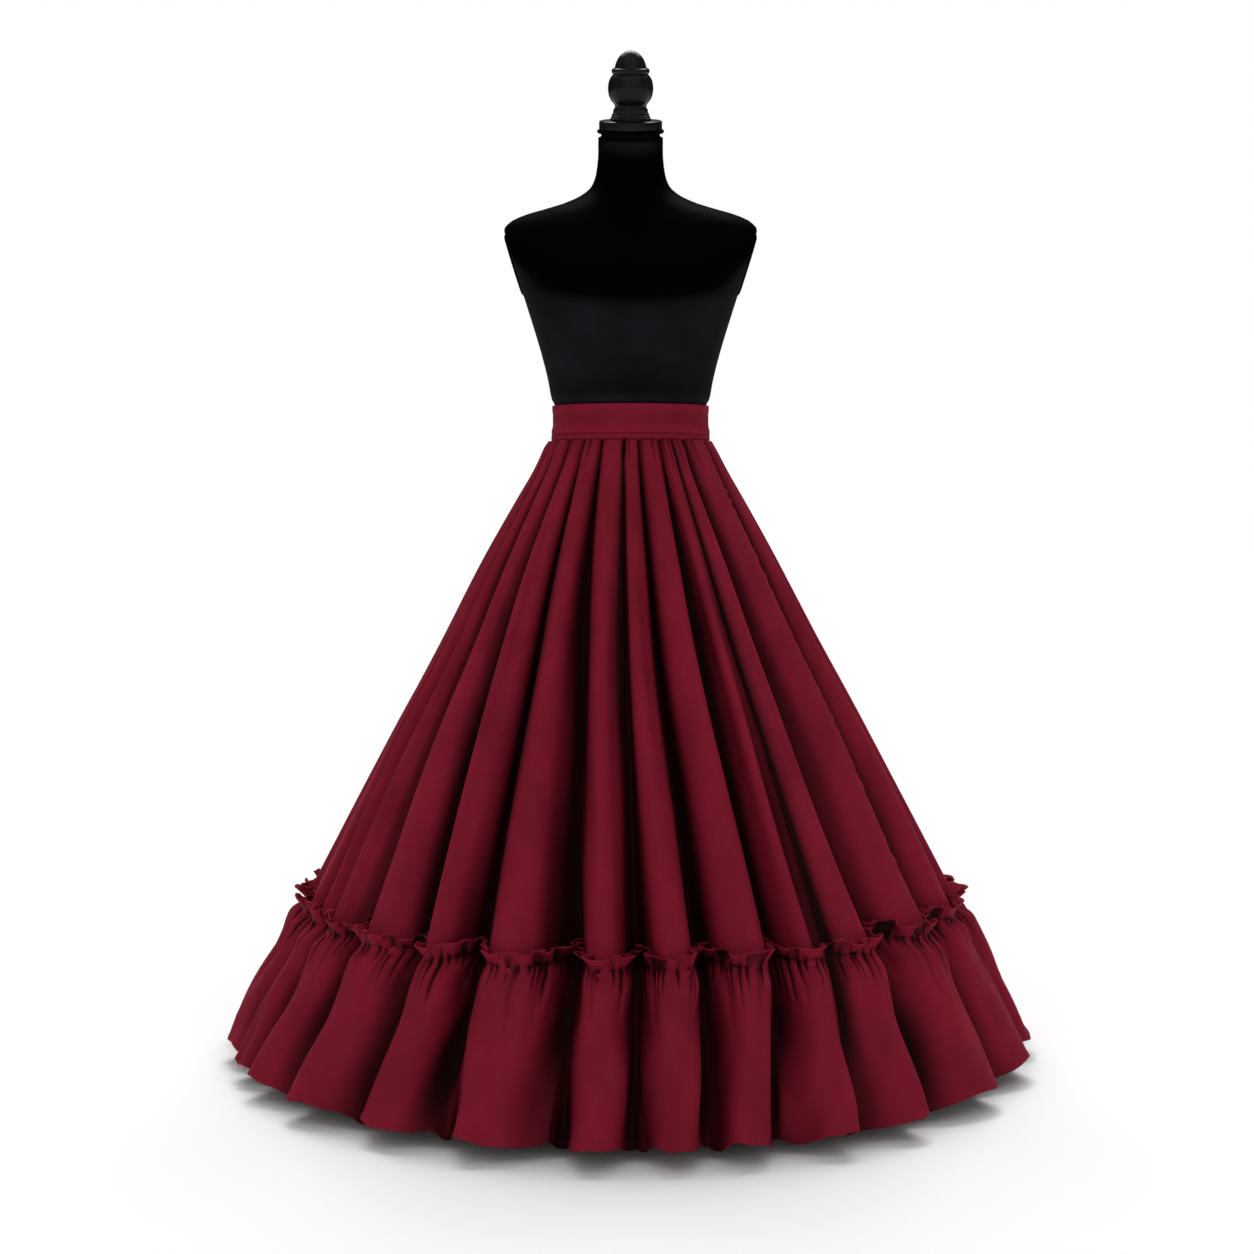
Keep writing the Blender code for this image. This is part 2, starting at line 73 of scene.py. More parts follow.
# Height, half width and half depth of the skirt over its crests
OUTLINE = (
    (0.942, 0.1264, 0.1056),
    (0.929, 0.1334, 0.1140),
    (0.900, 0.1490, 0.1310),
    (0.852, 0.1770, 0.1610),
    (0.759, 0.2292, 0.2170),
    (0.635, 0.2939, 0.2850),
    (0.513, 0.3608, 0.3550),
    (0.391, 0.4253, 0.4220),
    (0.270, 0.4872, 0.4860),
    (0.223, 0.5110, 0.5105),
)
FLOUNCE_OUTLINE = (
    (0.208, 0.5250, 0.5245),
    (0.170, 0.5480, 0.5475),
    (0.110, 0.5830, 0.5825),
    (0.032, 0.6225, 0.6220),
)
HEM_Z = FLOUNCE_OUTLINE[-1][0]
# Troughs: angle at the waist, the stitch line and the hem, in degrees, then depth in millimetres
# at the waist, halfway, at the stitch line and at the hem, then how closed each is, from 0 for a
# wide one to 1 for a slit.
TROUGHS = (
    (-92, -82, -84, 5, 24, 46, 34, 0.50),
    (-80, -70, -72, 3, 16, 40, 32, 0.50),
    (-70, -62, -64, 5, 34, 52, 36, 0.45),
    (-60, -52, -52, 5, 40, 58, 36, 0.40),
    (-46, -36, -38, 6, 42, 60, 42, 0.40),
    (-33, -27, -25, 7, 50, 76, 44, 0.35),
    (-20, -9, -10, 7, 56, 84, 50, 0.35),
    (-4, 1, 1, 3, 24, 68, 46, 0.50),
    (5, 12, 10, 7, 52, 76, 46, 0.40),
    (20, 24, 19, 7, 52, 74, 44, 0.35),
    (28, 32, 30, 0, 3, 10, 34, 0.60),
    (38, 45, 42, 7, 56, 78, 42, 0.35),
    (64, 62, 60, 6, 44, 66, 38, 0.45),
    (86, 78, 76, 4, 30, 54, 36, 0.45),
    (97, 89, 88, 5, 32, 56, 38, 0.50),
    (107, 99, 98, 6, 46, 70, 42, 0.40),
    (120, 112, 110, 4, 28, 56, 40, 0.55),
    (133, 126, 124, 7, 50, 74, 44, 0.40),
    (146, 140, 139, 5, 38, 64, 40, 0.50),
    (159, 153, 153, 7, 50, 74, 42, 0.40),
    (170, 167, 167, 4, 28, 58, 40, 0.55),
    (182, 181, 181, 7, 54, 78, 46, 0.35),
    (195, 195, 195, 5, 38, 62, 40, 0.50),
    (208, 209, 209, 7, 50, 74, 44, 0.40),
    (221, 224, 224, 4, 30, 56, 40, 0.55),
    (234, 239, 239, 7, 50, 74, 44, 0.40),
    (247, 253, 252, 5, 38, 62, 40, 0.50),
    (258, 266, 265, 6, 44, 66, 40, 0.40),
)
FOLDS = len(TROUGHS)
GORES = (("front", 2), ("left", 12), ("back", 17), ("right", 24))  # the trough at each one's start

# How finely the cloth is made
GORE_STEPS_PER_FOLD, GORE_ROWS = 30, 84
FLOUNCE_STEPS_PER_FOLD = 92

# ------------------------------------------------------------ small help with numbers
def through(xs, ys, at):
    """A smooth curve through points, with no overshoot between them."""
    order = np.argsort(xs)
    xs, ys = np.asarray(xs, float)[order], np.asarray(ys, float)[order]
    step = np.diff(xs)
    slope = np.diff(ys) / step
    tangent = np.empty(len(xs))
    tangent[0], tangent[-1] = slope[0], slope[-1]
    same = slope[:-1] * slope[1:] > 0
    both = np.where(same, 2 * slope[:-1] * slope[1:] / np.where(same, slope[:-1] + slope[1:], 1), 0)
    tangent[1:-1] = both
    at = np.clip(np.asarray(at, float), xs[0], xs[-1])
    i = np.clip(np.searchsorted(xs, at, side="right") - 1, 0, len(xs) - 2)
    s = (at - xs[i]) / step[i]
    return (
        ys[i] * (1 + 2 * s) * (1 - s) ** 2
        + tangent[i] * step[i] * s * (1 - s) ** 2
        + ys[i + 1] * s * s * (3 - 2 * s)
        + tangent[i + 1] * step[i] * s * s * (s - 1)
    )


def smooth(low, high, at):
    """0 below low, 1 above high, smooth between."""
    s = np.clip((np.asarray(at, float) - low) / (high - low), 0, 1)
    return s * s * (3 - 2 * s)


def unit(vectors):
    return vectors / np.maximum(np.linalg.norm(vectors, axis=-1, keepdims=True), 1e-12)


def grid_normals(points):
    """Normals of a grid of points, rows down and columns round, facing out."""
    return unit(np.cross(np.gradient(points, axis=0), np.gradient(points, axis=1)))


class Gathers:
    """Bulges between unevenly spaced pinches along an edge that closes on itself."""

    def __init__(self, length, spacing, seed, fade=(0.5, 1.0), to_and_fro=False):
        draw = random.Random(seed)
        places = [0.0]
        while places[-1] < length:
            places.append(places[-1] + spacing * draw.uniform(0.5, 1.7))
        self.places = np.array(places) * length / places[-1]
        self.length = length
        count = len(places) - 1
        self.height = np.array([draw.uniform(0.55, 1.25) for _ in range(count)])
        self.reach = np.array([draw.uniform(*fade) for _ in range(count)])
        self.turn = np.array([draw.choice((-1, 1)) * draw.uniform(0.5, 1.0) for _ in range(count)])
        if to_and_fro:
            signs = (-1) ** np.arange(count)
            self.turn = np.abs(self.turn) * np.diff(self.places) / spacing * signs

    def find(self, q):
        """(the bulge that q is on, how far across it)."""
        q = np.mod(q, self.length)
        i = np.clip(np.searchsorted(self.places, q, side="right") - 1, 0, len(self.height) - 1)
        share = (q - self.places[i]) / (self.places[i + 1] - self.places[i])
        return i, share

    def wedge(self, q, t, wide):
        """Painted shade of the creases that run down from the pinches, narrowing to nothing."""
        i, share = self.find(q)
        reach = self.blended(self.reach, i, share)
        fading = np.clip(1 - t / reach, 0, 1)
        off = np.minimum(share, 1 - share) * (self.places[i + 1] - self.places[i])
        return np.exp(-((off / (wide * (0.25 + 0.75 * fading))) ** 2)) * fading ** 0.5

    def bulge(self, q):
        """(height of the bulge, the share of the way down at which it fades) at q."""
        i, share = self.find(q)
        wide = (self.places[i + 1] - self.places[i]) / (self.length / len(self.height))
        nearby = self.blended(self.reach, i, share)
        return self.height[i] * wide ** 0.8 * (np.sin(np.pi * share) ** 0.75), nearby

    def blended(self, values, i, share):
        """values of the bulges, sliding from one bulge's to the next."""
        following = values[(i + 1) % len(values)]
        before = values[i - 1]
        mid = values[i]
        low = before + (mid - before) * (0.5 + share)
        high = mid + (following - mid) * (share - 0.5)
        return np.where(share < 0.5, low, high)

    def sway(self, q):
        """A wave to both sides."""
        i, share = self.find(q)
        return self.turn[i] * np.sin(np.pi * share) ** 1.2

    def loop(self, q):
        """How far along the edge a bulge's two sides spread past its foot."""
        i, share = self.find(q)
        return -np.abs(self.turn[i]) * np.sin(2 * np.pi * share)


class Ripples:
    """A sum of slow waves that closes after all the folds."""

    def __init__(self, lowest, highest, count, seed):
        draw = random.Random(seed)
        self.waves = [
            (
                draw.randint(lowest, highest),
                draw.uniform(0, 2 * math.pi),
                draw.uniform(-2.2, 2.2),
                draw.uniform(0.4, 1),
            )
            for _ in range(count)
        ]
        self.total = math.sqrt(sum(w[3] ** 2 for w in self.waves))

    def at(self, u, t):
        turn = 2 * math.pi * u / FOLDS
        waves = (a * np.sin(n * turn + phase + drift * t) for n, phase, drift, a in self.waves)
        return sum(waves) / self.total


# ------------------------------------------------------------ the folded cloth
TABLE = np.array(TROUGHS, float)
ANGLES, DEPTHS, CLOSED = TABLE[:, :3], TABLE[:, 3:7] / 1000, TABLE[:, 7]


def fold_shape(u, z):
    """(angle in radians, depth below the crests, 0 on a crest to 1 in a trough).

    u counts the folds round the skirt, and is whole in the troughs.
    """
    number = np.floor(u).astype(int)
    share = u - number
    above = (WAIST_Z - z) / (WAIST_Z - STITCH_Z)
    below = 1 + (STITCH_Z - z) / (STITCH_Z - HEM_Z)
    level = np.where(z >= STITCH_Z, above, below)

    def angle_of(n):
        row = np.mod(n, FOLDS)
        turns = 360.0 * np.floor_divide(n, FOLDS)
        waist, stitch, hem = (ANGLES[row, k] + turns for k in range(3))
        upper = waist + (stitch - waist) * level
        lower = stitch + (hem - stitch) * (level - 1)
        return np.where(level <= 1, upper, lower)

    def depth_of(n):
        row = np.mod(n, FOLDS)
        waist, half, stitch, hem = (DEPTHS[row, k] for k in range(4))
        upper = waist + (half - waist) * level / 0.5
        middle = half + (stitch - half) * (level - 0.5) / 0.5
        lower = stitch + (hem - stitch) * (level - 1)
        return np.where(level <= 0.5, upper, np.where(level <= 1, middle, lower))

    here, there = angle_of(number), angle_of(number + 1)
    near = share < 0.5
    turn = 2 * np.pi * share
    lean = FOLD_LEAN * np.sin(np.radians(here + there))
    closed = np.where(near, CLOSED[np.mod(number, FOLDS)], CLOSED[np.mod(number + 1, FOLDS)])
    closed = WAIST_CLOSED + (closed - WAIST_CLOSED) * smooth(0, OPENED, level)
    spread = share - (closed * np.sin(turn) - lean * (1 - np.cos(turn))) / (2 * np.pi)
    angle = here + (there - here) * spread
    dip = np.cos(np.pi * share) ** 2
    dip = dip + (smooth(0, 1, dip) - dip) * BOXED * smooth(0.5, 1.3, level)
    depth = np.where(near, depth_of(number), depth_of(number + 1)) * dip
    return np.radians(angle), depth, dip


def on_outline(rows, u, z):
    """Points of the folded cloth, and how far in each is."""
    angle, depth, dip = fold_shape(u, z)
    heights = [row[0] for row in rows]
    half_w = through(heights, [row[1] for row in rows], z)
    half_d = through(heights, [row[2] for row in rows], z)
    x, y = half_w * np.sin(angle), -half_d * np.cos(angle)
    out = unit(np.stack([x / half_w**2, y / half_d**2, np.zeros_like(x)], axis=-1))
    return np.stack([x, y, z + 0 * x], axis=-1) - out * depth[..., None], dip


def lengths_along(points):
    """How far along the row each point is."""
    return np.concatenate([[0], np.cumsum(np.linalg.norm(np.diff(points, axis=0), axis=1))])


def cloth_uv(points):
    """The cloth's own coordinates, in metres."""
    along = lengths_along(points[len(points) // 2])
    down = lengths_along(points[:, points.shape[1] // 2])
    return np.stack(np.meshgrid(along, down), -1)


def cloth_mesh(name, sheet, thick, recess):
    """A thin closed wall: the sheet outside, the same moved in behind it, and rims."""
    rows, columns = sheet.shape[:2]
    inner = sheet - grid_normals(sheet) * thick
    points = np.concatenate([sheet.reshape(-1, 3), inner.reshape(-1, 3)])
    index = np.arange(rows * columns).reshape(rows, columns)
    back = index + rows * columns
    a, b, c, d = index[:-1, :-1], index[1:, :-1], index[1:, 1:], index[:-1, 1:]
    quads = [np.stack([a, b, c, d], -1).reshape(-1, 4)]
    a, b, c, d = back[:-1, :-1], back[1:, :-1], back[1:, 1:], back[:-1, 1:]
    quads.append(np.stack([d, c, b, a], -1).reshape(-1, 4))
    quads.append(np.stack([index[0, :-1], index[0, 1:], back[0, 1:], back[0, :-1]], -1))
    quads.append(np.stack([index[-1, 1:], index[-1, :-1], back[-1, :-1], back[-1, 1:]], -1))
    quads.append(np.stack([index[1:, 0], index[:-1, 0], back[:-1, 0], back[1:, 0]], -1))
    quads.append(np.stack([index[:-1, -1], index[1:, -1], back[1:, -1], back[:-1, -1]], -1))
    faces = np.concatenate(quads)
    mesh = bpy.data.meshes.new(name)
    mesh.vertices.add(len(points))
    mesh.vertices.foreach_set("co", points.astype(np.float32).ravel())
    mesh.loops.add(faces.size)
    mesh.loops.foreach_set("vertex_index", faces.astype(np.int32).ravel())
    mesh.polygons.add(len(faces))
    mesh.polygons.foreach_set("loop_start", np.arange(0, faces.size, 4, dtype=np.int32))
    mesh.update(calc_edges=True)
    mesh.shade_smooth()
    # The per-point painted shade, the same on both walls; the cloth material darkens its colour by
    # it.
    shade = mesh.attributes.new("recess", "FLOAT", "POINT")
    shade.data.foreach_set("value", np.tile(recess.ravel(), 2).astype(np.float32))
    layer = mesh.uv_layers.new(name="cloth")
    flat = np.tile(cloth_uv(sheet).reshape(-1, 2), (2, 1))[faces.ravel()]
    layer.data.foreach_set("uv", flat.astype(np.float32).ravel())
    obj = bpy.data.objects.new(name, mesh)
    bpy.context.scene.collection.objects.link(obj)
    return obj


# ------------------------------------------------------------ gores
WAIST_PLEATS = Gathers(FOLDS, 0.36, 11, fade=(0.05, 0.16))
LONG_LINES = Ripples(38, 96, 9, 5)
STREAKS = Ripples(90, 190, 9, 6)
SOFT_DENTS = Ripples(20, 60, 7, 8)
PUCKERED_SEAM = 11.76  # the flank beside the seam of the front and left gores, which it draws up
PUCKER_STEP = 0.021
# How far each of these stands out of the cloth
PLEAT_TALL, LINE_TALL, DENT_TALL, PUCKER_TALL = 0.0036, 0.0036, 0.0022, 0.0022
# Painted light: the painted shade gets lighter by this much for each metre the cloth rises out of
# its surface.
LIT_RISE = 30  # how much less a metre of rise out of the cloth shades it


def gore_surface(u, z):
    """The skirt's outside at a grid of fold coordinates and heights, and how much painted shade it
    gets.
    """
    base, dip = on_outline(OUTLINE, u, z)
    level = (WAIST_Z - z) / (WAIST_Z - STITCH_Z)
    normals = grid_normals(base)
    pleat, reach = WAIST_PLEATS.bulge(u)
    below = np.clip(level / reach, 0, 1)
    pleats = pleat * PLEAT_TALL * (1 - below) ** 1.5 * (0.35 + 0.65 * smooth(0, 0.25, below))
    lines = LONG_LINES.at(u, level * 1.3) * LINE_TALL * smooth(0.02, 0.4, level) * (1 - 0.4 * dip)
    dents = SOFT_DENTS.at(u, level * 5) * DENT_TALL * smooth(0.15, 0.7, level)
    beside = np.abs(u - PUCKERED_SEAM)
    beside = np.minimum(beside, FOLDS - beside)
    slack = np.exp(-((beside / 0.15) ** 2)) * smooth(0.03, 0.12, level)
    drawn = 2 * np.pi * (z + 0.05 * (u - PUCKERED_SEAM)) / PUCKER_STEP + 3 * np.sin(z * 37)
    puckers = np.sin(drawn) * PUCKER_TALL * slack * (0.7 + 0.6 * np.sin(z * 61))
    moved = base + normals * (pleats + lines + dents + puckers)[..., None]
    # Painted shade: darker in the troughs and between the waist pleats, lighter where lines and
    # dents stand out; the streaks vary it at random.
    pleated = np.clip(1 - pleat, 0, 1) ** 2 * (1 - below) * 0.8
    recess = np.maximum(dip, pleated)
    streaks = STREAKS.at(u, level * 1.1) * 0.06 * smooth(0.02, 0.3, level)
    return moved, np.clip(recess - LIT_RISE * (lines + dents) + streaks, 0, 1)


def gore(name, first, last):
    columns = (last - first) * GORE_STEPS_PER_FOLD
    u = first + np.arange(columns + 1) / GORE_STEPS_PER_FOLD
    down = np.linspace(0, 1, GORE_ROWS) ** 1.25
    z = WAIST_Z + (STITCH_Z - GORE_TUCK - WAIST_Z) * down
    u, z = np.meshgrid(u, z)
    points, recess = gore_surface(u, z)
    return cloth_mesh("skirt_" + name, points, SHELL, recess)


# ------------------------------------------------------------ flounce
def stitch_length(u):
    """The stitch line's length up to each point."""
    return lengths_along(on_outline(OUTLINE, u[None], np.full_like(u, STITCH_Z)[None])[0][0])


ALL_U = np.arange(FOLDS * 60 + 1) / 60
ALL_Q = stitch_length(ALL_U)
GATHER_LINE = float(ALL_Q[-1])
FINE_GATHERS = Gathers(GATHER_LINE, 0.0115, 21, fade=(0.06, 0.36))
DEEP_GATHERS = Gathers(GATHER_LINE, 0.034, 22, fade=(0.20, 0.60))
FRILL = Gathers(GATHER_LINE, 0.0180, 23, to_and_fro=True)
FRILL_FINE = Gathers(GATHER_LINE, 0.0060, 24)
HEM_WAVES = Ripples(30, 110, 9, 31)
FLOUNCE_DENTS = Ripples(24, 70, 8, 33)
FRILL_H, FRILL_SWAY, FRILL_LOOP, FRILL_FLUTTER = 0.0225, 0.0080, 0.0078, 0.0024
SHOULDER = 0.16  # the share of the flounce that rounds out from the stitch line
FINE_PUFF, DEEP_PUFF, SAG, HEM_WAVE, ROLL_TALL = 0.0052, 0.0066, 0.0040, 0.0030, 0.0007
# How wide the painted shade along the fine and deep gathers' creases starts.
FINE_CREASE, DEEP_CREASE = 0.0024, 0.0050
FRILL_ROWS = 9
HEM_ROLL = 0.965  # the share of the flounce at which the rolled hem starts
BODY_ROWS = 33
# The share of the flounce at each row, close together under the gathers and on the roll
DOWN_FLOUNCE = [HEM_ROLL * ((k + 1) / BODY_ROWS) ** 1.15 for k in range(BODY_ROWS)]
DOWN_FLOUNCE += [0.969, 0.978, 0.990, 1.0]
NEARBY = 0.004  # a single row's normals come from rows this far above and below it
UP = np.array([0, 0, 1.0])


def row_on(outline, u, z):
    """One row of the folded cloth: its points, their normals and how far in each is."""
    heights = np.array([z + NEARBY, z, z - NEARBY])[:, None]
    around, dip = on_outline(outline, np.tile(u, (3, 1)), np.tile(heights, (1, len(u))))
    return around[1], grid_normals(around)[1], dip[1]


def frill(u, q):
    """The frill's rows, from its top edge down to the stitch line, and how much painted shade each
    gets.
    """
    edge, out, dip = row_on(OUTLINE, u, STITCH_Z)
    foot = edge + out * (2 * SEAM_GAP + SHELL)
    radial = unit(np.stack([foot[:, 0], foot[:, 1], 0 * u], -1))
    lean = unit(0.55 * out + 0.45 * radial)
    lean[:, 2] = 0
    pinch = np.clip(FINE_GATHERS.bulge(q)[0], 0, 1)
    sway, flutter = FRILL.sway(q), FRILL_FINE.sway(q)
    along = unit(np.cross(UP, lean))
    spread = FRILL.loop(q) * FRILL_LOOP + FRILL_FINE.loop(q) * FRILL_LOOP / 4
    tall = FRILL_H * (0.88 + 0.12 * HEM_WAVES.at(u, 7.0) + 0.10 * flutter)
    rows, shades = [], []
    for k in range(FRILL_ROWS):
        t = 1 - k / (FRILL_ROWS - 1)
        away = 0.0010 + 0.0070 * t + FRILL_SWAY * sway * t**0.8 + FRILL_FLUTTER * flutter * t
        away = away + 0.0014 * pinch * (1 - t)
        droop = 1 - 0.14 * np.maximum(sway, 0) * t
        row = foot + lean * np.maximum(away, 0.0004)[:, None] + UP * (tall * t * droop)[:, None]
        rows.append(row + along * (spread * t)[:, None])
        # Painted shade: darker in the troughs, where the frill turns in and at its gathered foot; a
        # painted highlight lightens its top edge.
        shade_turned_in = 0.62 * np.clip(-sway, 0, 1) * t**0.4
        gathered = 0.30 * (1 - t) ** 5 + 0.55 * (1 - t) ** 1.2 * (1 - pinch)
        lit_top_edge = 1 - 0.7 * float(smooth(0.80, 1, t))
        shades.append((dip * 0.7 + shade_turned_in + gathered) * lit_top_edge)
    return rows, shades


def below_stitches(u, q, tops):
    """The flounce's rows, from under the stitch line down to the hem, and how much painted shade
    each gets.
    """
    fine, fine_reach = FINE_GATHERS.bulge(q)
    deep, deep_reach = DEEP_GATHERS.bulge(q)
    rise = HEM_RISE * fold_shape(u, np.full_like(u, HEM_Z))[2]
    neck = (STITCH_Z, OUTLINE[-1][1] - 0.0045, OUTLINE[-1][2] - 0.0045)
    rows, shades = [], []
    for t in DOWN_FLOUNCE:
        body, normal, dip = row_on((neck,) + FLOUNCE_OUTLINE, u, STITCH_Z + (HEM_Z - STITCH_Z) * t)
        on_crest = 0.25 + 0.75 * (1 - dip)
        puff = FINE_PUFF * fine * np.sin(np.pi * np.clip(t / fine_reach, 0, 1) ** 0.5)
        puff = puff + DEEP_PUFF * deep * np.sin(np.pi * np.clip(t / deep_reach, 0, 1) ** 0.6)
        sag = FLOUNCE_DENTS.at(u, t * 4) * SAG * smooth(0.05, 0.5, t)
        wave = HEM_WAVES.at(u, t) * HEM_WAVE * smooth(0.3, 1.0, t)
        rolled = ROLL_TALL * smooth(HEM_ROLL - 0.002, HEM_ROLL + 0.012, t)
        body = body + normal * (puff * on_crest + sag + wave + rolled)[:, None]
        start = 1 - (1 - np.clip(t / SHOULDER, 0, 1)) ** 2.2
        body = tops * (1 - start) + body * start if start < 1 else body
        hung = (rise + 0.003 * HEM_WAVES.at(u, 3.0)) * smooth(0.1, 1, t)
        body = body - UP * hung[:, None]
        straight = tops[:, 2] + (HEM_Z - STITCH_Z) * t
        body[:, 2] = straight + (body[:, 2] - straight) * smooth(0.02, SHOULDER, t)
        rows.append(body)
        # Painted shade: darker along the gathers' creases and in the troughs, a painted shadow
        # under the frill, and lighter where the cloth sags out.
        crease_shade = 0.90 * FINE_GATHERS.wedge(q, t, FINE_CREASE)
        crease_shade = crease_shade + 0.50 * DEEP_GATHERS.wedge(q, t, DEEP_CREASE)
        fold_and_crease_shade = np.maximum(dip * 0.76, np.clip(crease_shade, 0, 0.7) + 0.3 * dip)
        under = 0.22 * np.exp(-((t / 0.030) ** 2))
        shades.append(fold_and_crease_shade + under - LIT_RISE * sag)
    return rows, shades


def flounce_surface(u):
    """The flounce's outside, from the frill's top edge down to the hem."""
    q = np.interp(np.mod(u, FOLDS), ALL_U, ALL_Q)
    rows, shades = frill(u, q)
    lower_rows, lower_shades = below_stitches(u, q, rows[-1])
    return np.array(rows + lower_rows), np.clip(np.array(shades + lower_shades), 0, 1)


def flounce(name, first, last):
    columns = (last - first) * FLOUNCE_STEPS_PER_FOLD
    u = first + np.arange(columns + 1) / FLOUNCE_STEPS_PER_FOLD
    points, recess = flounce_surface(u)
    return cloth_mesh("flounce_cloth_" + name, points, SHELL, recess), points


# ------------------------------------------------------------ the waist
def on_waist(angle, lift):
    """Points round the waist's oval, moved out."""
    x, y = WAIST_HALF_W * np.sin(angle), -WAIST_HALF_D * np.cos(angle)
    out = unit(np.stack([x / WAIST_HALF_W**2, y / WAIST_HALF_D**2, 0 * x], -1))
    return np.stack([x, y, 0 * x], -1) + out * lift[..., None]


def waist_strip(name, low, high, turns, lift_of, steps, rows):
    """A strip round the waist. lift_of(angle, share of the height) is how far it stands off."""
    across = np.radians(np.linspace(*turns, steps + 1))
    angle, share = np.meshgrid(across, np.linspace(1, 0, rows))
    lift = lift_of(np.degrees(angle), share)
    points = on_waist(angle, lift + BAND_THICK)
    points[..., 2] = low + (high - low) * share
    # Painted shade: some over the whole strip, more along its lower seam, and less where it stands
    # out further than the rest of its column.
    painted_seam_shade = 0.30 * np.exp(-((share / 0.05) ** 2))
    shade = np.clip(0.24 + painted_seam_shade - 4 * LIT_RISE * (lift - lift.mean(axis=0)), 0, 1)
    return cloth_mesh(name, points, BAND_THICK, shade), points


LAP, LAP_RAMP = 17, 22  # degrees of the band that lie over its start, and that climb onto it
BAND_THICK = 0.0024
BAND_TURNS = (180 - LAP / 2, 540 + LAP / 2)
TAPE_TURNS = (180.25, 539.75)
BAND_STEPS, BAND_ROWS = 520, 26
TAPE_STEPS, TAPE_ROWS = 480, 12
BAND_PUCKERS = Gathers(360, 5.5, 41)
BAND_SLACK = Gathers(360, 46, 42)
BAND_OFF, PUCKER, SLACK, CREASE, HOLLOW = 0.0008, 0.0014, 0.0009, 0.0006, 0.0007
TAPE_OFF, STITCH_DIP = 0.0030, 0.0005


def band_lift(angle, share):
    """The band over its own start at the back, with small puckers above its seam and a crease."""
    climb = np.clip((angle - (BAND_TURNS[1] - LAP - LAP_RAMP)) / LAP_RAMP, 0, 1)
    over = (BAND_THICK + SEAM_GAP) * climb**2 * (3 - 2 * climb)
    slant = angle + share * 5
    pucker = BAND_PUCKERS.bulge(slant)[0] * PUCKER * np.exp(-((share - 0.10) / 0.13) ** 2)
    slack = BAND_SLACK.sway(angle + share * 18) * SLACK * np.sin(np.pi * share)
    crease = CREASE * np.exp(-(((share - 0.70) / 0.05) ** 2))
    hollow = HOLLOW * np.cos(2 * np.pi * share)
    return BAND_LIFT + over + pucker + slack - crease + hollow + BAND_OFF


def tape_lift(angle, share):
    """The tape, the same at every angle, drawn in along its two rows of stitches."""
    lower = np.exp(-(((share - 0.18) / 0.07) ** 2))
    upper = np.exp(-(((share - 0.82) / 0.07) ** 2))
    return BAND_LIFT + TAPE_OFF - STITCH_DIP * (lower + upper)


# ------------------------------------------------------------ the form
# Height, half width, half depth, how far forward, tilt in degrees, and how square: 2 is an oval
FORM = (
    (0.770, 0.1480, 0.1120, 0.000, 0, 2.0),
    (0.780, 0.1540, 0.1170, 0.000, 0, 2.0),
    (0.815, 0.1530, 0.1170, 0.000, 0, 2.0),
    (0.860, 0.1400, 0.1080, 0.000, 0, 2.0),
    (0.900, 0.1270, 0.1000, 0.000, 0, 2.0),
    (0.925, 0.1195, 0.0965, 0.000, 0, 2.0),
    (0.944, 0.1170, 0.0952, 0.000, 0, 2.0),
    (0.997, 0.1170, 0.0952, 0.000, 0, 2.0),
    (1.007, 0.1220, 0.0990, 0.000, 0, 2.0),
    (1.037, 0.1278, 0.1020, 0.001, 0, 2.1),
    (1.075, 0.1372, 0.1065, 0.004, 0, 2.2),
    (1.115, 0.1490, 0.1140, 0.009, 0, 2.3),
    (1.155, 0.1625, 0.1180, 0.011, 0, 2.4),
    (1.190, 0.1768, 0.1120, 0.008, 0, 2.5),
    (1.222, 0.1895, 0.0990, 0.002, 0, 2.6),
    (1.250, 0.1960, 0.0840, -0.004, 0, 2.6),
    (1.268, 0.1950, 0.0745, -0.007, 0, 2.5),
    (1.280, 0.1850, 0.0690, -0.009, 1, 2.4),
    (1.290, 0.1650, 0.0650, -0.011, 2, 2.3),
    (1.300, 0.1330, 0.0615, -0.012, 4, 2.2),
    (1.310, 0.1020, 0.0590, -0.013, 6, 2.1),
    (1.322, 0.0760, 0.0565, -0.013, 8, 2.0),
    (1.336, 0.0600, 0.0545, -0.012, 10, 2.0),
    (1.356, 0.0530, 0.0525, -0.010, 12, 2.0),
    (1.385, 0.0500, 0.0508, -0.008, 14, 2.0),
    (1.408, 0.0498, 0.0500, -0.003, 15, 2.0),
    (1.410, 0.0453, 0.0453, -0.002, 15, 2.0),
    (1.420, 0.0453, 0.0453, 0.000, 15, 2.0),
)
FORM_SIDES = 144
FORM_HEIGHTS = np.concatenate([np.arange(0.770, 1.4075, 0.0055), [1.408, 1.410, 1.415, 1.420]])
NECK_TILT = math.radians(15)
NECK_TOP = Vector((0, 0, 1.420))
ARM_CENTRE = Vector((0.1790, 0.004, 1.214))
ARM_LEAN = math.radians(17)
ARM_HALF_DEPTH, ARM_HALF_HEIGHT, ARM_PLATE_H = 0.041, 0.050, 0.0030
ROLL_R, ROLL_MIDDLE_R = 0.0029, 0.0487
CAP_R, CAP_H = 0.0484, 0.0130
ARM_CUTTER = 0.12
CAP = (
    (0, CAP_R - 0.0006),
    (0.0006, CAP_R),
    (CAP_H - 0.0022, CAP_R),
    (CAP_H - 0.0008, CAP_R - 0.0007),
    (CAP_H, CAP_R - 0.0024),
)
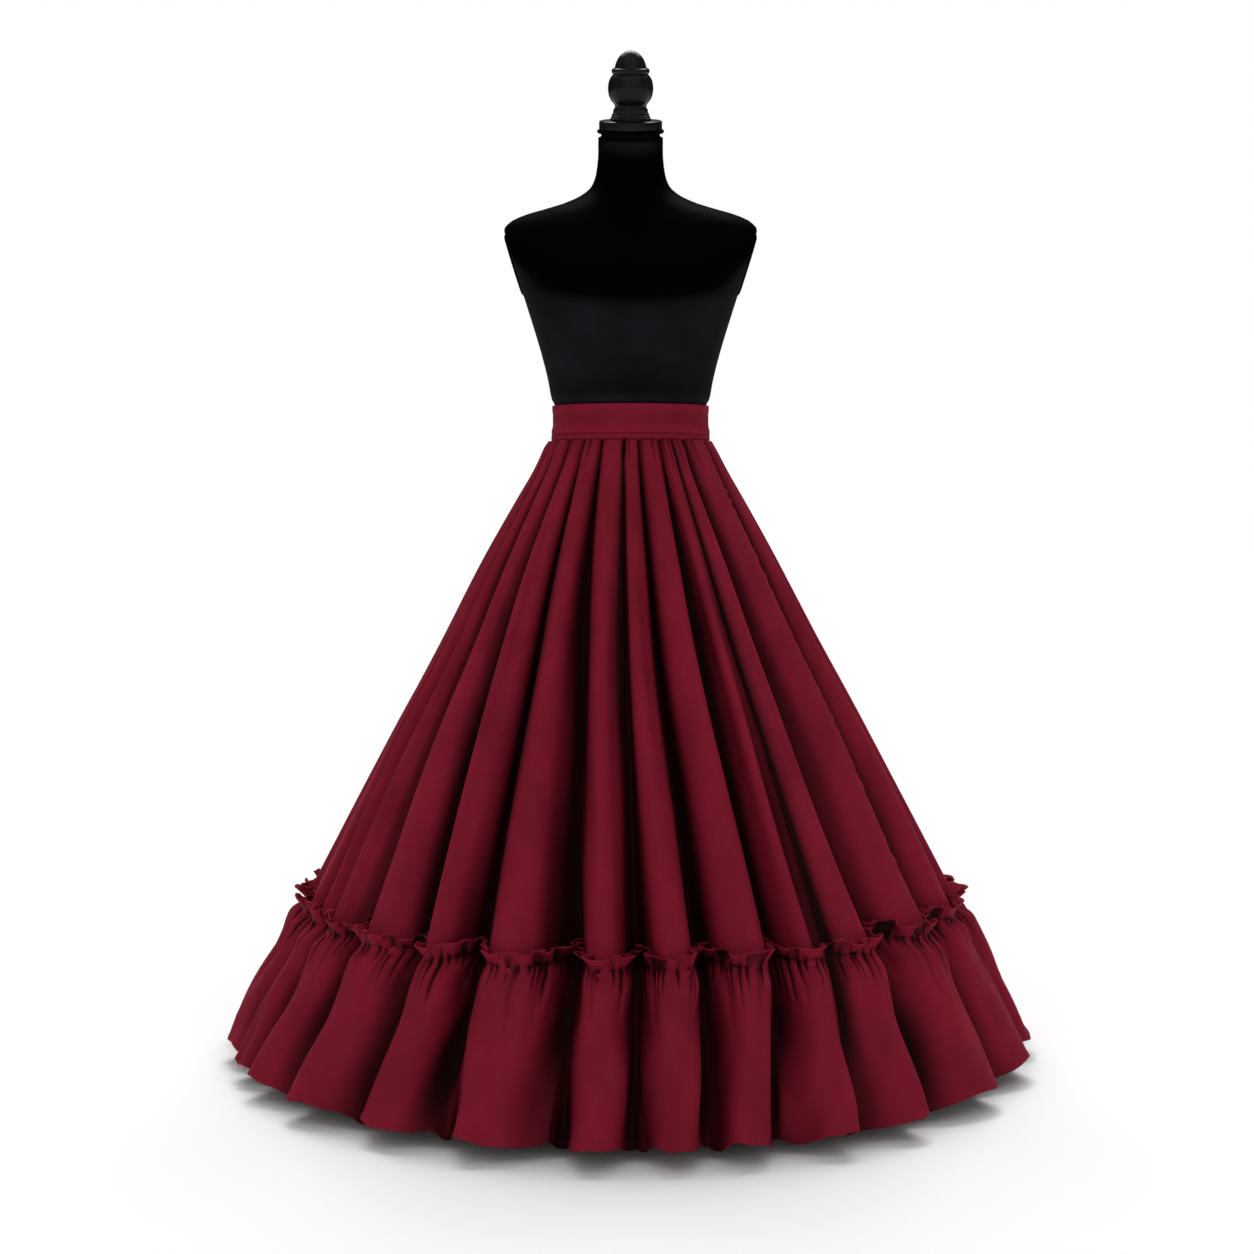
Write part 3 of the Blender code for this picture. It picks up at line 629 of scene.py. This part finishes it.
# Height above the cap, and radius
FINIAL = (
    (0.0000, 0.0310),
    (0.0030, 0.0312),
    (0.0042, 0.0296),
    (0.0066, 0.0298),
    (0.0078, 0.0282),
    (0.0102, 0.0284),
    (0.0114, 0.0266),
    (0.0150, 0.0268),
    (0.0175, 0.0252),
    (0.0205, 0.0240),
    (0.0240, 0.0256),
    (0.0300, 0.0304),
    (0.0380, 0.0336),
    (0.0470, 0.0347),
    (0.0560, 0.0336),
    (0.0630, 0.0308),
    (0.0665, 0.0280),
    (0.0680, 0.0268),
    (0.0700, 0.0284),
    (0.0730, 0.0290),
    (0.0758, 0.0282),
    (0.0775, 0.0246),
    (0.0840, 0.0226),
    (0.0920, 0.0186),
    (0.0985, 0.0120),
    (0.1020, 0.0050),
    (0.1030, 0.0000),
)


def mesh_object(name, maker):
    mesh = bpy.data.meshes.new(name)
    maker.to_mesh(mesh)
    maker.free()
    obj = bpy.data.objects.new(name, mesh)
    bpy.context.scene.collection.objects.link(obj)
    return obj


def settle(obj):
    """The object's modifiers and its place become part of a plain mesh at the origin."""
    graph = bpy.context.evaluated_depsgraph_get()
    graph.update()
    mesh = bpy.data.meshes.new_from_object(obj.evaluated_get(graph))
    mesh.transform(obj.matrix_world)
    done = bpy.data.objects.new(obj.name + "_done", mesh)
    name = obj.name
    bpy.data.objects.remove(obj)
    done.name = name
    mesh.name = name
    bpy.context.scene.collection.objects.link(done)
    return done


def bent(value, square):
    """A sine or cosine bent so that an oval becomes squarer; 2 leaves it as it is."""
    return math.copysign(abs(value) ** (2 / square), value)


def form_ring(made, z):
    """The form's section at a height."""
    heights = [row[0] for row in FORM]
    half_w, half_d, forward, tilt, square = (
        float(through(heights, [row[k] for row in FORM], z)) for k in range(1, 6)
    )
    lean = Matrix.Rotation(math.radians(tilt), 4, "X")
    ring = []
    for i in range(FORM_SIDES):
        angle = 2 * math.pi * i / FORM_SIDES
        x, y = half_w * bent(math.sin(angle), square), -half_d * bent(math.cos(angle), square)
        ring.append(made.verts.new(lean @ Vector((x, y, 0)) + Vector((0, -forward, z))))
    return ring


def cut_arms(torso):
    """The torso with a flat face at each arm."""
    cutters = []
    for side in (-1, 1):
        made = bmesh.new()
        block = Matrix.Diagonal((ARM_CUTTER, 3 * ARM_CUTTER, 2 * ARM_CUTTER, 1))
        bmesh.ops.create_cube(made, size=1, matrix=block)
        cutter = mesh_object(f"arm_cutter_{side}", made)
        cutter.matrix_world = arm_frame(side) @ Matrix.Translation((ARM_CUTTER / 2, 0, 0))
        modifier = torso.modifiers.new("arm", "BOOLEAN")
        modifier.operation = "DIFFERENCE"
        modifier.object = cutter
        cutters.append(cutter)
    bpy.context.view_layer.update()
    torso = settle(torso)
    for cutter in cutters:
        bpy.data.objects.remove(cutter)
    return torso


def form_torso():
    """The same sections as the solid, drawn through smoothly, with the arms cut flat."""
    made = bmesh.new()
    rings = [form_ring(made, z) for z in FORM_HEIGHTS]
    for low, high in zip(rings, rings[1:]):
        for i in range(FORM_SIDES):
            j = (i + 1) % FORM_SIDES
            made.faces.new((low[i], low[j], high[j], high[i]))
    made.faces.new(rings[0][::-1])
    made.faces.new(rings[-1])
    torso = cut_arms(mesh_object("velvet_torso", made))
    torso.data.shade_smooth()
    torso.data.set_sharp_from_angle(angle=math.radians(32))
    # Painted sheen on the faces that turn down.
    paint_sheen_facing_down(torso)
    return torso


def paint_sheen_facing_down(piece):
    """Painted sheen: the velvet is made paler where it faces down, under the bust and at the sides.
    """
    mesh = piece.data
    normals = np.empty(len(mesh.vertices) * 3, np.float32)
    mesh.vertices.foreach_get("normal", normals)
    faces_down = smooth(0.0, 0.30, -normals.reshape(-1, 3)[:, 2])
    bloom = mesh.attributes.new("bloom", "FLOAT", "POINT")
    bloom.data.foreach_set("value", faces_down.astype(np.float32))


def arm_frame(side):
    place = Matrix.Translation((side * ARM_CENTRE.x, ARM_CENTRE.y, ARM_CENTRE.z))
    facing = Matrix.Rotation(0 if side > 0 else math.pi, 4, "Z")
    return place @ facing @ Matrix.Rotation(ARM_LEAN, 4, "Y")


def arm_plate(name, side):
    """A padded oval under the cover, with a soft rim."""
    made = bmesh.new()
    bmesh.ops.create_cone(
        made, cap_ends=True, segments=72, radius1=1, radius2=0.90, depth=ARM_PLATE_H,
        matrix=Matrix.Diagonal((ARM_HALF_HEIGHT, ARM_HALF_DEPTH, 1, 1)),
    )
    plate = mesh_object(name, made)
    stand_up = Matrix.Rotation(math.pi / 2, 4, "Y")
    off = Matrix.Translation((SEAM_GAP + ARM_PLATE_H / 2, 0, 0))
    plate.matrix_world = arm_frame(side) @ off @ stand_up
    rim = plate.modifiers.new("soft_rim", "BEVEL")
    rim.width = 0.0026
    rim.segments = 4
    rim.limit_method = "ANGLE"
    bpy.context.view_layer.update()
    plate = settle(plate)
    plate.data.shade_smooth()
    plate.data.set_sharp_from_angle(angle=math.radians(40))
    return plate


def turned(name, profile, steps, place):
    """A turned piece, from the heights and radii up its outer side."""
    rows = list(profile)
    if rows[0][1] > 0:
        rows.insert(0, (rows[0][0], 0.0))
    if rows[-1][1] > 0:
        rows.append((rows[-1][0], 0.0))
    made = bmesh.new()
    points = [made.verts.new((radius, 0, height)) for height, radius in rows[::-1]]
    for a, b in zip(points, points[1:]):
        made.edges.new((a, b))
    shape = mesh_object(name, made)
    spin = shape.modifiers.new("turned", "SCREW")
    spin.steps = spin.render_steps = steps
    spin.use_merge_vertices = True
    spin.merge_threshold = 0.00005
    shape.matrix_world = place
    bpy.context.view_layer.update()
    shape = settle(shape)
    shape.data.shade_smooth()
    shape.data.set_sharp_from_angle(angle=math.radians(28))
    return shape


def rounded_profile(rows, step=0.0008):
    """The profile with soft curves through its points."""
    rows = sorted(rows)
    heights = [row[0] for row in rows]
    count = int((heights[-1] - heights[0]) / step)
    fine = [heights[0] + (heights[-1] - heights[0]) * k / count for k in range(count + 1)]
    return [(z, float(through(heights, [row[1] for row in rows], z))) for z in fine]


def neck_frame():
    return Matrix.Translation(NECK_TOP) @ Matrix.Rotation(NECK_TILT, 4, "X")


def ribbed_roll():
    """The rolled top edge of the cover, ribbed round."""
    around, across, ribs = 288, 16, 96
    made = bmesh.new()
    rings = []
    for i in range(around):
        a = 2 * math.pi * i / around
        r = ROLL_R * (0.94 + 0.06 * math.sin(a * ribs))
        ring = []
        for k in range(across):
            b = 2 * math.pi * k / across
            spoke = ROLL_MIDDLE_R + r * math.cos(b)
            point = (spoke * math.sin(a), -spoke * math.cos(a), r * math.sin(b))
            ring.append(made.verts.new(point))
        rings.append(ring)
    for i in range(around):
        low, high = rings[i], rings[(i + 1) % around]
        for k in range(across):
            j = (k + 1) % across
            made.faces.new((low[k], high[k], high[j], low[j]))
    roll = mesh_object("cover_roll", made)
    roll.matrix_world = neck_frame() @ Matrix.Translation((0, 0, -ROLL_R))
    bpy.context.view_layer.update()
    roll = settle(roll)
    roll.data.shade_smooth()
    return roll


# ------------------------------------------------------------ materials
def new_material(name):
    made = bpy.data.materials.new(name)
    made.use_nodes = True
    tree = made.node_tree
    return made, tree, tree.nodes["Principled BSDF"]


def set_inputs(node, **values):
    """Sets the node's inputs. In their names here, _ stands for a space."""
    for name, value in values.items():
        node.inputs[name.replace("_", " ")].default_value = value


def object_place(tree):
    return tree.nodes.new("ShaderNodeTexCoord").outputs["Object"]


def mapped(tree, vector, **values):
    """The coordinates turned or stretched."""
    mapping = tree.nodes.new("ShaderNodeMapping")
    set_inputs(mapping, **values)
    tree.links.new(vector, mapping.inputs["Vector"])
    return mapping.outputs["Vector"]


def noise(tree, vector, scale, detail):
    texture = tree.nodes.new("ShaderNodeTexNoise")
    set_inputs(texture, Scale=scale, Detail=detail)
    tree.links.new(vector, texture.inputs["Vector"])
    return texture.outputs["Fac"]


def ranged(tree, value, given, wanted, curve="LINEAR"):
    """The value moved from the given range to the wanted one."""
    moved = tree.nodes.new("ShaderNodeMapRange")
    moved.interpolation_type = curve
    set_inputs(moved, From_Min=given[0], From_Max=given[1], To_Min=wanted[0], To_Max=wanted[1])
    tree.links.new(value, moved.inputs["Value"])
    return moved.outputs["Result"]


def attribute(tree, name):
    read = tree.nodes.new("ShaderNodeAttribute")
    read.attribute_name = name
    return read.outputs["Fac"]


def ramped(tree, value, colours, ends=(0, 1), curve="LINEAR"):
    """A colour that runs from the first to the second as the value rises between the ends."""
    node = tree.nodes.new("ShaderNodeValToRGB")
    ramp = node.color_ramp
    ramp.interpolation = curve
    for element, place, colour in zip(ramp.elements, ends, colours):
        element.position = place
        element.color = (*colour, 1)
    tree.links.new(value, node.inputs["Fac"])
    return node.outputs["Color"]


def bump_chain(tree, shader, *layers):
    """Bumps one over another: (a socket with a height, how tall in metres)."""
    last = None
    for socket, tall in layers:
        bump = tree.nodes.new("ShaderNodeBump")
        set_inputs(bump, Strength=1.0, Distance=tall)
        tree.links.new(socket, bump.inputs["Height"])
        if last:
            tree.links.new(last.outputs["Normal"], bump.inputs["Normal"])
        last = bump
    tree.links.new(last.outputs["Normal"], shader.inputs["Normal"])


# The cloth's colour as painted on lit crests, and as painted in the shade of the troughs.
CLOTH_LIT = (0.212, 0.0094, 0.0246)
CLOTH_SHADED = (0.011, 0.0003, 0.0008)
TWILL_STEP = 0.0009
TWILL_SLANT = math.radians(58)


def cloth_material():
    """Cotton twill: fine slanting ribs, uneven in colour, with painted shade where folds keep light
    out.
    """
    made, tree, shader = new_material("burgundy_twill")
    links = tree.links
    uv = tree.nodes.new("ShaderNodeUVMap")
    uv.uv_map = "cloth"
    ribs = tree.nodes.new("ShaderNodeTexWave")
    ribs.wave_type = "BANDS"
    set_inputs(ribs, Scale=math.pi / 10 / TWILL_STEP, Distortion=0.8, Detail=1.0, Detail_Scale=0.4)
    slanted = mapped(tree, uv.outputs["UV"], Rotation=(0, 0, TWILL_SLANT))
    links.new(slanted, ribs.inputs["Vector"])
    place = object_place(tree)
    slub = noise(tree, place, 420, 2)
    soft = noise(tree, mapped(tree, place, Scale=(1, 1, 0.4)), 16, 3)
    # The painted shade darkens the cloth from the lit colour to the shaded one, and soft noise
    # varies it at random.
    depth = attribute(tree, "recess")
    shaded_colour = ramped(tree, depth, (CLOTH_LIT, CLOTH_SHADED), (0.12, 0.82), "EASE")
    shaded_mottled = tree.nodes.new("ShaderNodeVectorMath")
    shaded_mottled.operation = "SCALE"
    links.new(shaded_colour, shaded_mottled.inputs[0])
    links.new(ranged(tree, soft, (0.3, 0.7), (0.80, 1.10)), shaded_mottled.inputs["Scale"])
    links.new(shaded_mottled.outputs["Vector"], shader.inputs["Base Color"])
    links.new(ranged(tree, slub, (0, 1), (0.58, 0.74)), shader.inputs["Roughness"])
    set_inputs(
        shader,
        Specular_IOR_Level=0.05,
        Sheen_Weight=0.03,
        Sheen_Roughness=0.35,
        Sheen_Tint=(0.80, 0.06, 0.14, 1),
    )
    bump_chain(tree, shader, (ribs.outputs["Fac"], 0.00006), (slub, 0.00010), (soft, 0.0012))
    return made


# The velvet's own black, and the painted cool sheen on faces that turn down.
NAP_DEEP = (0.0009, 0.0009, 0.0009)
NAP_SHEEN = (0.0175, 0.0180, 0.0225)
SEAM_GROOVE = 0.0016


def velvet_material():
    """Short black velvet with a painted cool sheen where it faces down, and a seam."""
    made, tree, shader = new_material("black_velvet_nap")
    links = tree.links
    place = object_place(tree)
    nap = noise(tree, place, 900, 2)
    brushed = noise(tree, place, 9, 4)
    links.new(ranged(tree, brushed, (0.35, 0.65), (0.42, 0.60)), shader.inputs["Roughness"])
    # The painted sheen, varied at random by the brushed noise.
    uneven = tree.nodes.new("ShaderNodeMath")
    uneven.operation = "MULTIPLY"
    links.new(attribute(tree, "bloom"), uneven.inputs[0])
    links.new(brushed, uneven.inputs[1])
    tone = ramped(tree, uneven.outputs["Value"], (NAP_DEEP, NAP_SHEEN))
    links.new(tone, shader.inputs["Base Color"])
    set_inputs(
        shader,
        Specular_IOR_Level=0.004,
        Sheen_Weight=0.0012,
        Sheen_Roughness=0.45,
        Sheen_Tint=(0.70, 0.80, 1.0, 1),
    )
    across = tree.nodes.new("ShaderNodeSeparateXYZ")
    links.new(place, across.inputs["Vector"])
    off_middle = tree.nodes.new("ShaderNodeMath")
    off_middle.operation = "ABSOLUTE"
    links.new(across.outputs["X"], off_middle.inputs[0])
    seam = ranged(tree, off_middle.outputs["Value"], (0, SEAM_GROOVE), (0, 1), "SMOOTHSTEP")
    bump_chain(tree, shader, (nap, 0.00012), (brushed, 0.0006), (seam, 0.0006))
    return made


def lacquer_material():
    """Gloss black paint over turned wood: faint turning rings and grain, and fine scuffs."""
    made, tree, shader = new_material("black_lacquer_gloss")
    place = object_place(tree)
    rings = noise(tree, mapped(tree, place, Scale=(60, 60, 900)), 1, 3)
    scuffs = noise(tree, place, 70, 6)
    rough = ranged(tree, scuffs, (0.35, 0.70), (0.22, 0.36))
    tree.links.new(rough, shader.inputs["Roughness"])
    set_inputs(shader, Base_Color=(0.0035, 0.0035, 0.0038, 1), Specular_IOR_Level=0.14)
    bump_chain(tree, shader, (rings, 0.00004))
    return made


def steel_material():
    """Satin black powder coat, with its fine orange-peel."""
    made, tree, shader = new_material("black_steel_coat")
    place = object_place(tree)
    rough = ranged(tree, noise(tree, place, 24, 5), (0, 1), (0.34, 0.52))
    tree.links.new(rough, shader.inputs["Roughness"])
    set_inputs(shader, Base_Color=(0.010, 0.010, 0.011, 1))
    bump_chain(tree, shader, (noise(tree, place, 600, 2), 0.00008))
    return made


def button_material():
    """Dark red polished plastic, clouded like horn."""
    made, tree, shader = new_material("burgundy_button_gloss")
    cloud = noise(tree, object_place(tree), 260, 3)
    tone = ramped(tree, cloud, ((0.075, 0.004, 0.010), (0.150, 0.010, 0.022)))
    tree.links.new(tone, shader.inputs["Base Color"])
    set_inputs(shader, Roughness=0.18)
    bump_chain(tree, shader, (cloud, 0.00003))
    return made


def thread_material():
    """Sewing thread in the cloth's colour, with a slight shine."""
    made, tree, shader = new_material("burgundy_thread")
    twist = noise(tree, object_place(tree), 1400, 2)
    set_inputs(
        shader, Base_Color=(0.150, 0.0070, 0.0180, 1), Roughness=0.55, Specular_IOR_Level=0.12
    )
    bump_chain(tree, shader, (twist, 0.00005))
    return made


# ------------------------------------------------------------ stitches
THREAD_R = 0.00030
TAPE_STITCH = (0.0034, 0.0026)  # from one stitch to the next, and how long each is
HEM_STITCH = (0.0042, 0.0030)
GATHER_STITCH = (0.0050, 0.0034)


def stitch_tree():
    """Even stitches along an edge path, each a thin rounded thread that follows it."""
    tree = bpy.data.node_groups.new("stitch_row", "GeometryNodeTree")
    sockets = tree.interface
    sockets.new_socket("Path", in_out="INPUT", socket_type="NodeSocketGeometry")
    for name in ("Spacing", "Stitch Length", "Thread Radius"):
        sockets.new_socket(name, in_out="INPUT", socket_type="NodeSocketFloat")
    sockets.new_socket("Thread", in_out="INPUT", socket_type="NodeSocketMaterial")
    sockets.new_socket("Stitches", in_out="OUTPUT", socket_type="NodeSocketGeometry")
    given = tree.nodes.new("NodeGroupInput")
    path = tree.nodes.new("GeometryNodeMeshToCurve")
    evenly = tree.nodes.new("GeometryNodeResampleCurve")
    evenly.mode = "LENGTH"
    tangent = tree.nodes.new("GeometryNodeInputTangent")
    along = tree.nodes.new("FunctionNodeAlignRotationToVector")
    along.axis = "Z"
    half = tree.nodes.new("ShaderNodeMath")
    half.operation = "MULTIPLY"
    half.inputs[1].default_value = 0.5
    size = tree.nodes.new("ShaderNodeCombineXYZ")
    bead = tree.nodes.new("GeometryNodeMeshIcoSphere")
    set_inputs(bead, Radius=1, Subdivisions=1)
    sewn = tree.nodes.new("GeometryNodeInstanceOnPoints")
    real = tree.nodes.new("GeometryNodeRealizeInstances")
    finish = tree.nodes.new("GeometryNodeSetMaterial")
    out = tree.nodes.new("NodeGroupOutput")
    for source, given_by, target, taken_by in (
        (given, "Path", path, "Mesh"),
        (path, "Curve", evenly, "Curve"),
        (given, "Spacing", evenly, "Length"),
        (evenly, "Curve", sewn, "Points"),
        (bead, "Mesh", sewn, "Instance"),
        (tangent, "Tangent", along, "Vector"),
        (along, "Rotation", sewn, "Rotation"),
        (given, "Stitch Length", half, 0),
        (given, "Thread Radius", size, "X"),
        (given, "Thread Radius", size, "Y"),
        (half, "Value", size, "Z"),
        (size, "Vector", sewn, "Scale"),
        (sewn, "Instances", real, "Geometry"),
        (real, "Geometry", finish, "Geometry"),
        (given, "Thread", finish, "Material"),
        (finish, "Geometry", out, "Stitches"),
    ):
        tree.links.new(source.outputs[given_by], target.inputs[taken_by])
    return tree


def stitch_rows(name, paths, stitch, tree, thread):
    """Rows of stitches along paths of points, as one plain mesh."""
    spacing, length = stitch
    made = bmesh.new()
    for path in paths:
        points = [made.verts.new(point) for point in path]
        for a, b in zip(points, points[1:]):
            made.edges.new((a, b))
    rows = mesh_object(name, made)
    modifier = rows.modifiers.new("stitches", "NODES")
    modifier.node_group = tree
    given = {
        "Spacing": spacing,
        "Stitch Length": length,
        "Thread Radius": THREAD_R,
        "Thread": thread,
    }
    for socket in tree.interface.items_tree:
        if socket.name in given:
            modifier[socket.identifier] = given[socket.name]
    bpy.context.view_layer.update()
    rows = settle(rows)
    rows.data.shade_smooth()
    return rows


def button_threads():
    """Two threads that cross through the button's four holes."""
    low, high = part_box("waist_button")
    middle = (Vector(low) + Vector(high)) / 2
    face = Matrix.Translation((middle.x, high[1], middle.z))
    thread = Matrix.Diagonal((0.0040, 0.0006, 0.0006, 1))
    made = bmesh.new()
    for turn in (math.pi / 4, -math.pi / 4):
        place = face @ Matrix.Rotation(turn, 4, "Y") @ thread
        bmesh.ops.create_icosphere(made, subdivisions=3, radius=1, matrix=place)
    threads = mesh_object("button_threads", made)
    threads.data.shade_smooth()
    return threads


# ------------------------------------------------------------ stage
CAMERA_AT = Vector((-0.0055, -3.0, 0.848))
CAMERA_DOWN = math.radians(3.7)
LENS = 55.26
# Name, azimuth and elevation in degrees, strength, and how wide it looks in degrees. Azimuth 0 is
# the front and 90 is +X.
SUNS = (
    ("left", -60, 30, 0.33, 90),
    ("right", 60, 30, 0.33, 90),
    ("front", 0, 32, 0.86, 80),
    ("overhead", 0, 88, 0.40, 90),
    ("behind", 180, 56, 0.95, 24),
    ("behind_left", -150, 56, 0.74, 30),
    ("behind_right", 150, 56, 0.74, 30),
)


def camera():
    data = bpy.data.cameras.new("camera")
    data.lens = LENS
    data.sensor_width = 36
    data.clip_end = 100
    cam = bpy.data.objects.new("camera", data)
    cam.location = CAMERA_AT
    cam.rotation_euler = (math.pi / 2 - CAMERA_DOWN, 0, 0)
    bpy.context.scene.collection.objects.link(cam)
    bpy.context.scene.camera = cam


def soft_sun(name, azimuth, elevation, strength, spread):
    """Even light from one side of the studio."""
    data = bpy.data.lights.new(name, "SUN")
    data.energy = strength
    data.angle = math.radians(spread)
    lamp = bpy.data.objects.new(name, data)
    turn, rise = math.radians(azimuth), math.radians(elevation)
    level = math.cos(rise)
    away = Vector((math.sin(turn) * level, -math.cos(turn) * level, math.sin(rise)))
    lamp.rotation_euler = (-away).to_track_quat("-Z", "Y").to_euler()
    lamp.location = away * 4
    bpy.context.scene.collection.objects.link(lamp)


def stage():
    scene = bpy.context.scene
    scene.view_settings.view_transform = "Standard"
    world = bpy.data.worlds.new("studio")
    scene.world = world
    world.use_nodes = True
    tree = world.node_tree
    tree.nodes.clear()
    out = tree.nodes.new("ShaderNodeOutputWorld")
    seen = tree.nodes.new("ShaderNodeBackground")
    felt = tree.nodes.new("ShaderNodeBackground")
    set_inputs(seen, Color=(1, 1, 1, 1), Strength=1.0)
    set_inputs(felt, Color=(1, 1, 1, 1), Strength=0.05)
    which = tree.nodes.new("ShaderNodeMixShader")
    path = tree.nodes.new("ShaderNodeLightPath")
    tree.links.new(path.outputs["Is Camera Ray"], which.inputs["Fac"])
    tree.links.new(felt.outputs["Background"], which.inputs[1])
    tree.links.new(seen.outputs["Background"], which.inputs[2])
    tree.links.new(which.outputs["Shader"], out.inputs["Surface"])
    made = bmesh.new()
    bmesh.ops.create_grid(made, x_segments=1, y_segments=1, size=20)
    floor = mesh_object("studio_floor", made)
    paint, _, shader = new_material("studio_white")
    set_inputs(shader, Base_Color=(0.97, 0.97, 0.97, 1), Roughness=0.9, Specular_IOR_Level=0.0)
    floor.data.materials.append(paint)
    for light in SUNS:
        soft_sun(*light)


# ------------------------------------------------------------ dressing
def cover(piece, finish):
    piece.data.materials.clear()
    piece.data.materials.append(finish)


def dress(piece, finish, slot, *nodes):
    cover(piece, finish)
    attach(piece, "root")
    if nodes:
        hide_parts(*nodes)


def dress_skirt(cotton):
    """The gores and the flounce. Returns the paths of the gathers' and the hem's stitches."""
    gather_paths, hem_paths = [], []
    starts = [start for _, start in GORES] + [GORES[0][1] + FOLDS]
    for (name, first), last in zip(GORES, starts[1:]):
        piece = gore(name, first, last)
        dress(piece, cotton, "burgundy_cotton", "gore_" + name)
        piece, points = flounce(name, first, last)
        dress(piece, cotton, "burgundy_cotton", "flounce_" + name)
        gather_paths.append(points[FRILL_ROWS])
        hem_paths.append(points[FRILL_ROWS + BODY_ROWS - 1])
    return gather_paths, hem_paths


def dress_waist(cotton):
    """The band and the tape. Returns the paths of the tape's stitches."""
    low = WAIST_Z + SEAM_GAP + TAPE_H + SEAM_GAP
    band, _ = waist_strip(
        "band_cloth", low, low + BAND_H, BAND_TURNS, band_lift, BAND_STEPS, BAND_ROWS
    )
    dress(band, cotton, "burgundy_cotton", "waistband")
    low = WAIST_Z + SEAM_GAP
    tape, points = waist_strip(
        "tape_cloth", low, low + TAPE_H, TAPE_TURNS, tape_lift, TAPE_STEPS, TAPE_ROWS
    )
    dress(tape, cotton, "burgundy_cotton", "waist_tape")
    return points[2], points[-3]


def dress_form():
    velvet = velvet_material()
    dress(form_torso(), velvet, "black_velvet", "form_torso")
    dress(arm_plate("velvet_arm_left", 1), velvet, "black_velvet", "form_arm_left")
    dress(arm_plate("velvet_arm_right", -1), velvet, "black_velvet", "form_arm_right")
    dress(ribbed_roll(), velvet, "black_velvet", "form_neck_roll")
    lacquer = lacquer_material()
    place = neck_frame() @ Matrix.Translation((0, 0, SEAM_GAP))
    cap = turned("lacquered_neck_cap", CAP, 128, place)
    dress(cap, lacquer, "black_lacquer", "form_neck_cap")
    place = neck_frame() @ Matrix.Translation((0, 0, CAP_H + 2 * SEAM_GAP))
    finial = turned("lacquered_finial", rounded_profile(FINIAL), 112, place)
    dress(finial, lacquer, "black_lacquer", "form_finial")


def main():
    camera()
    stage()
    cotton = cloth_material()
    gather_paths, hem_paths = dress_skirt(cotton)
    tape_paths = dress_waist(cotton)
    thread = thread_material()
    tree = stitch_tree()
    for name, paths, stitch in (
        ("tape_stitches", tape_paths, TAPE_STITCH),
        ("gather_stitches", gather_paths, GATHER_STITCH),
        ("hem_stitches", hem_paths, HEM_STITCH),
    ):
        dress(stitch_rows(name, paths, stitch, tree, thread), thread, "burgundy_cotton")
    dress(button_threads(), thread, "burgundy_cotton")
    dress_form()
    steel = steel_material()
    for name in ("stand_base", "stand_pole", "stand_socket", "form_flange"):
        cover(bpy.data.objects[name], steel)
    cover(bpy.data.objects["waist_button"], button_material())


main()
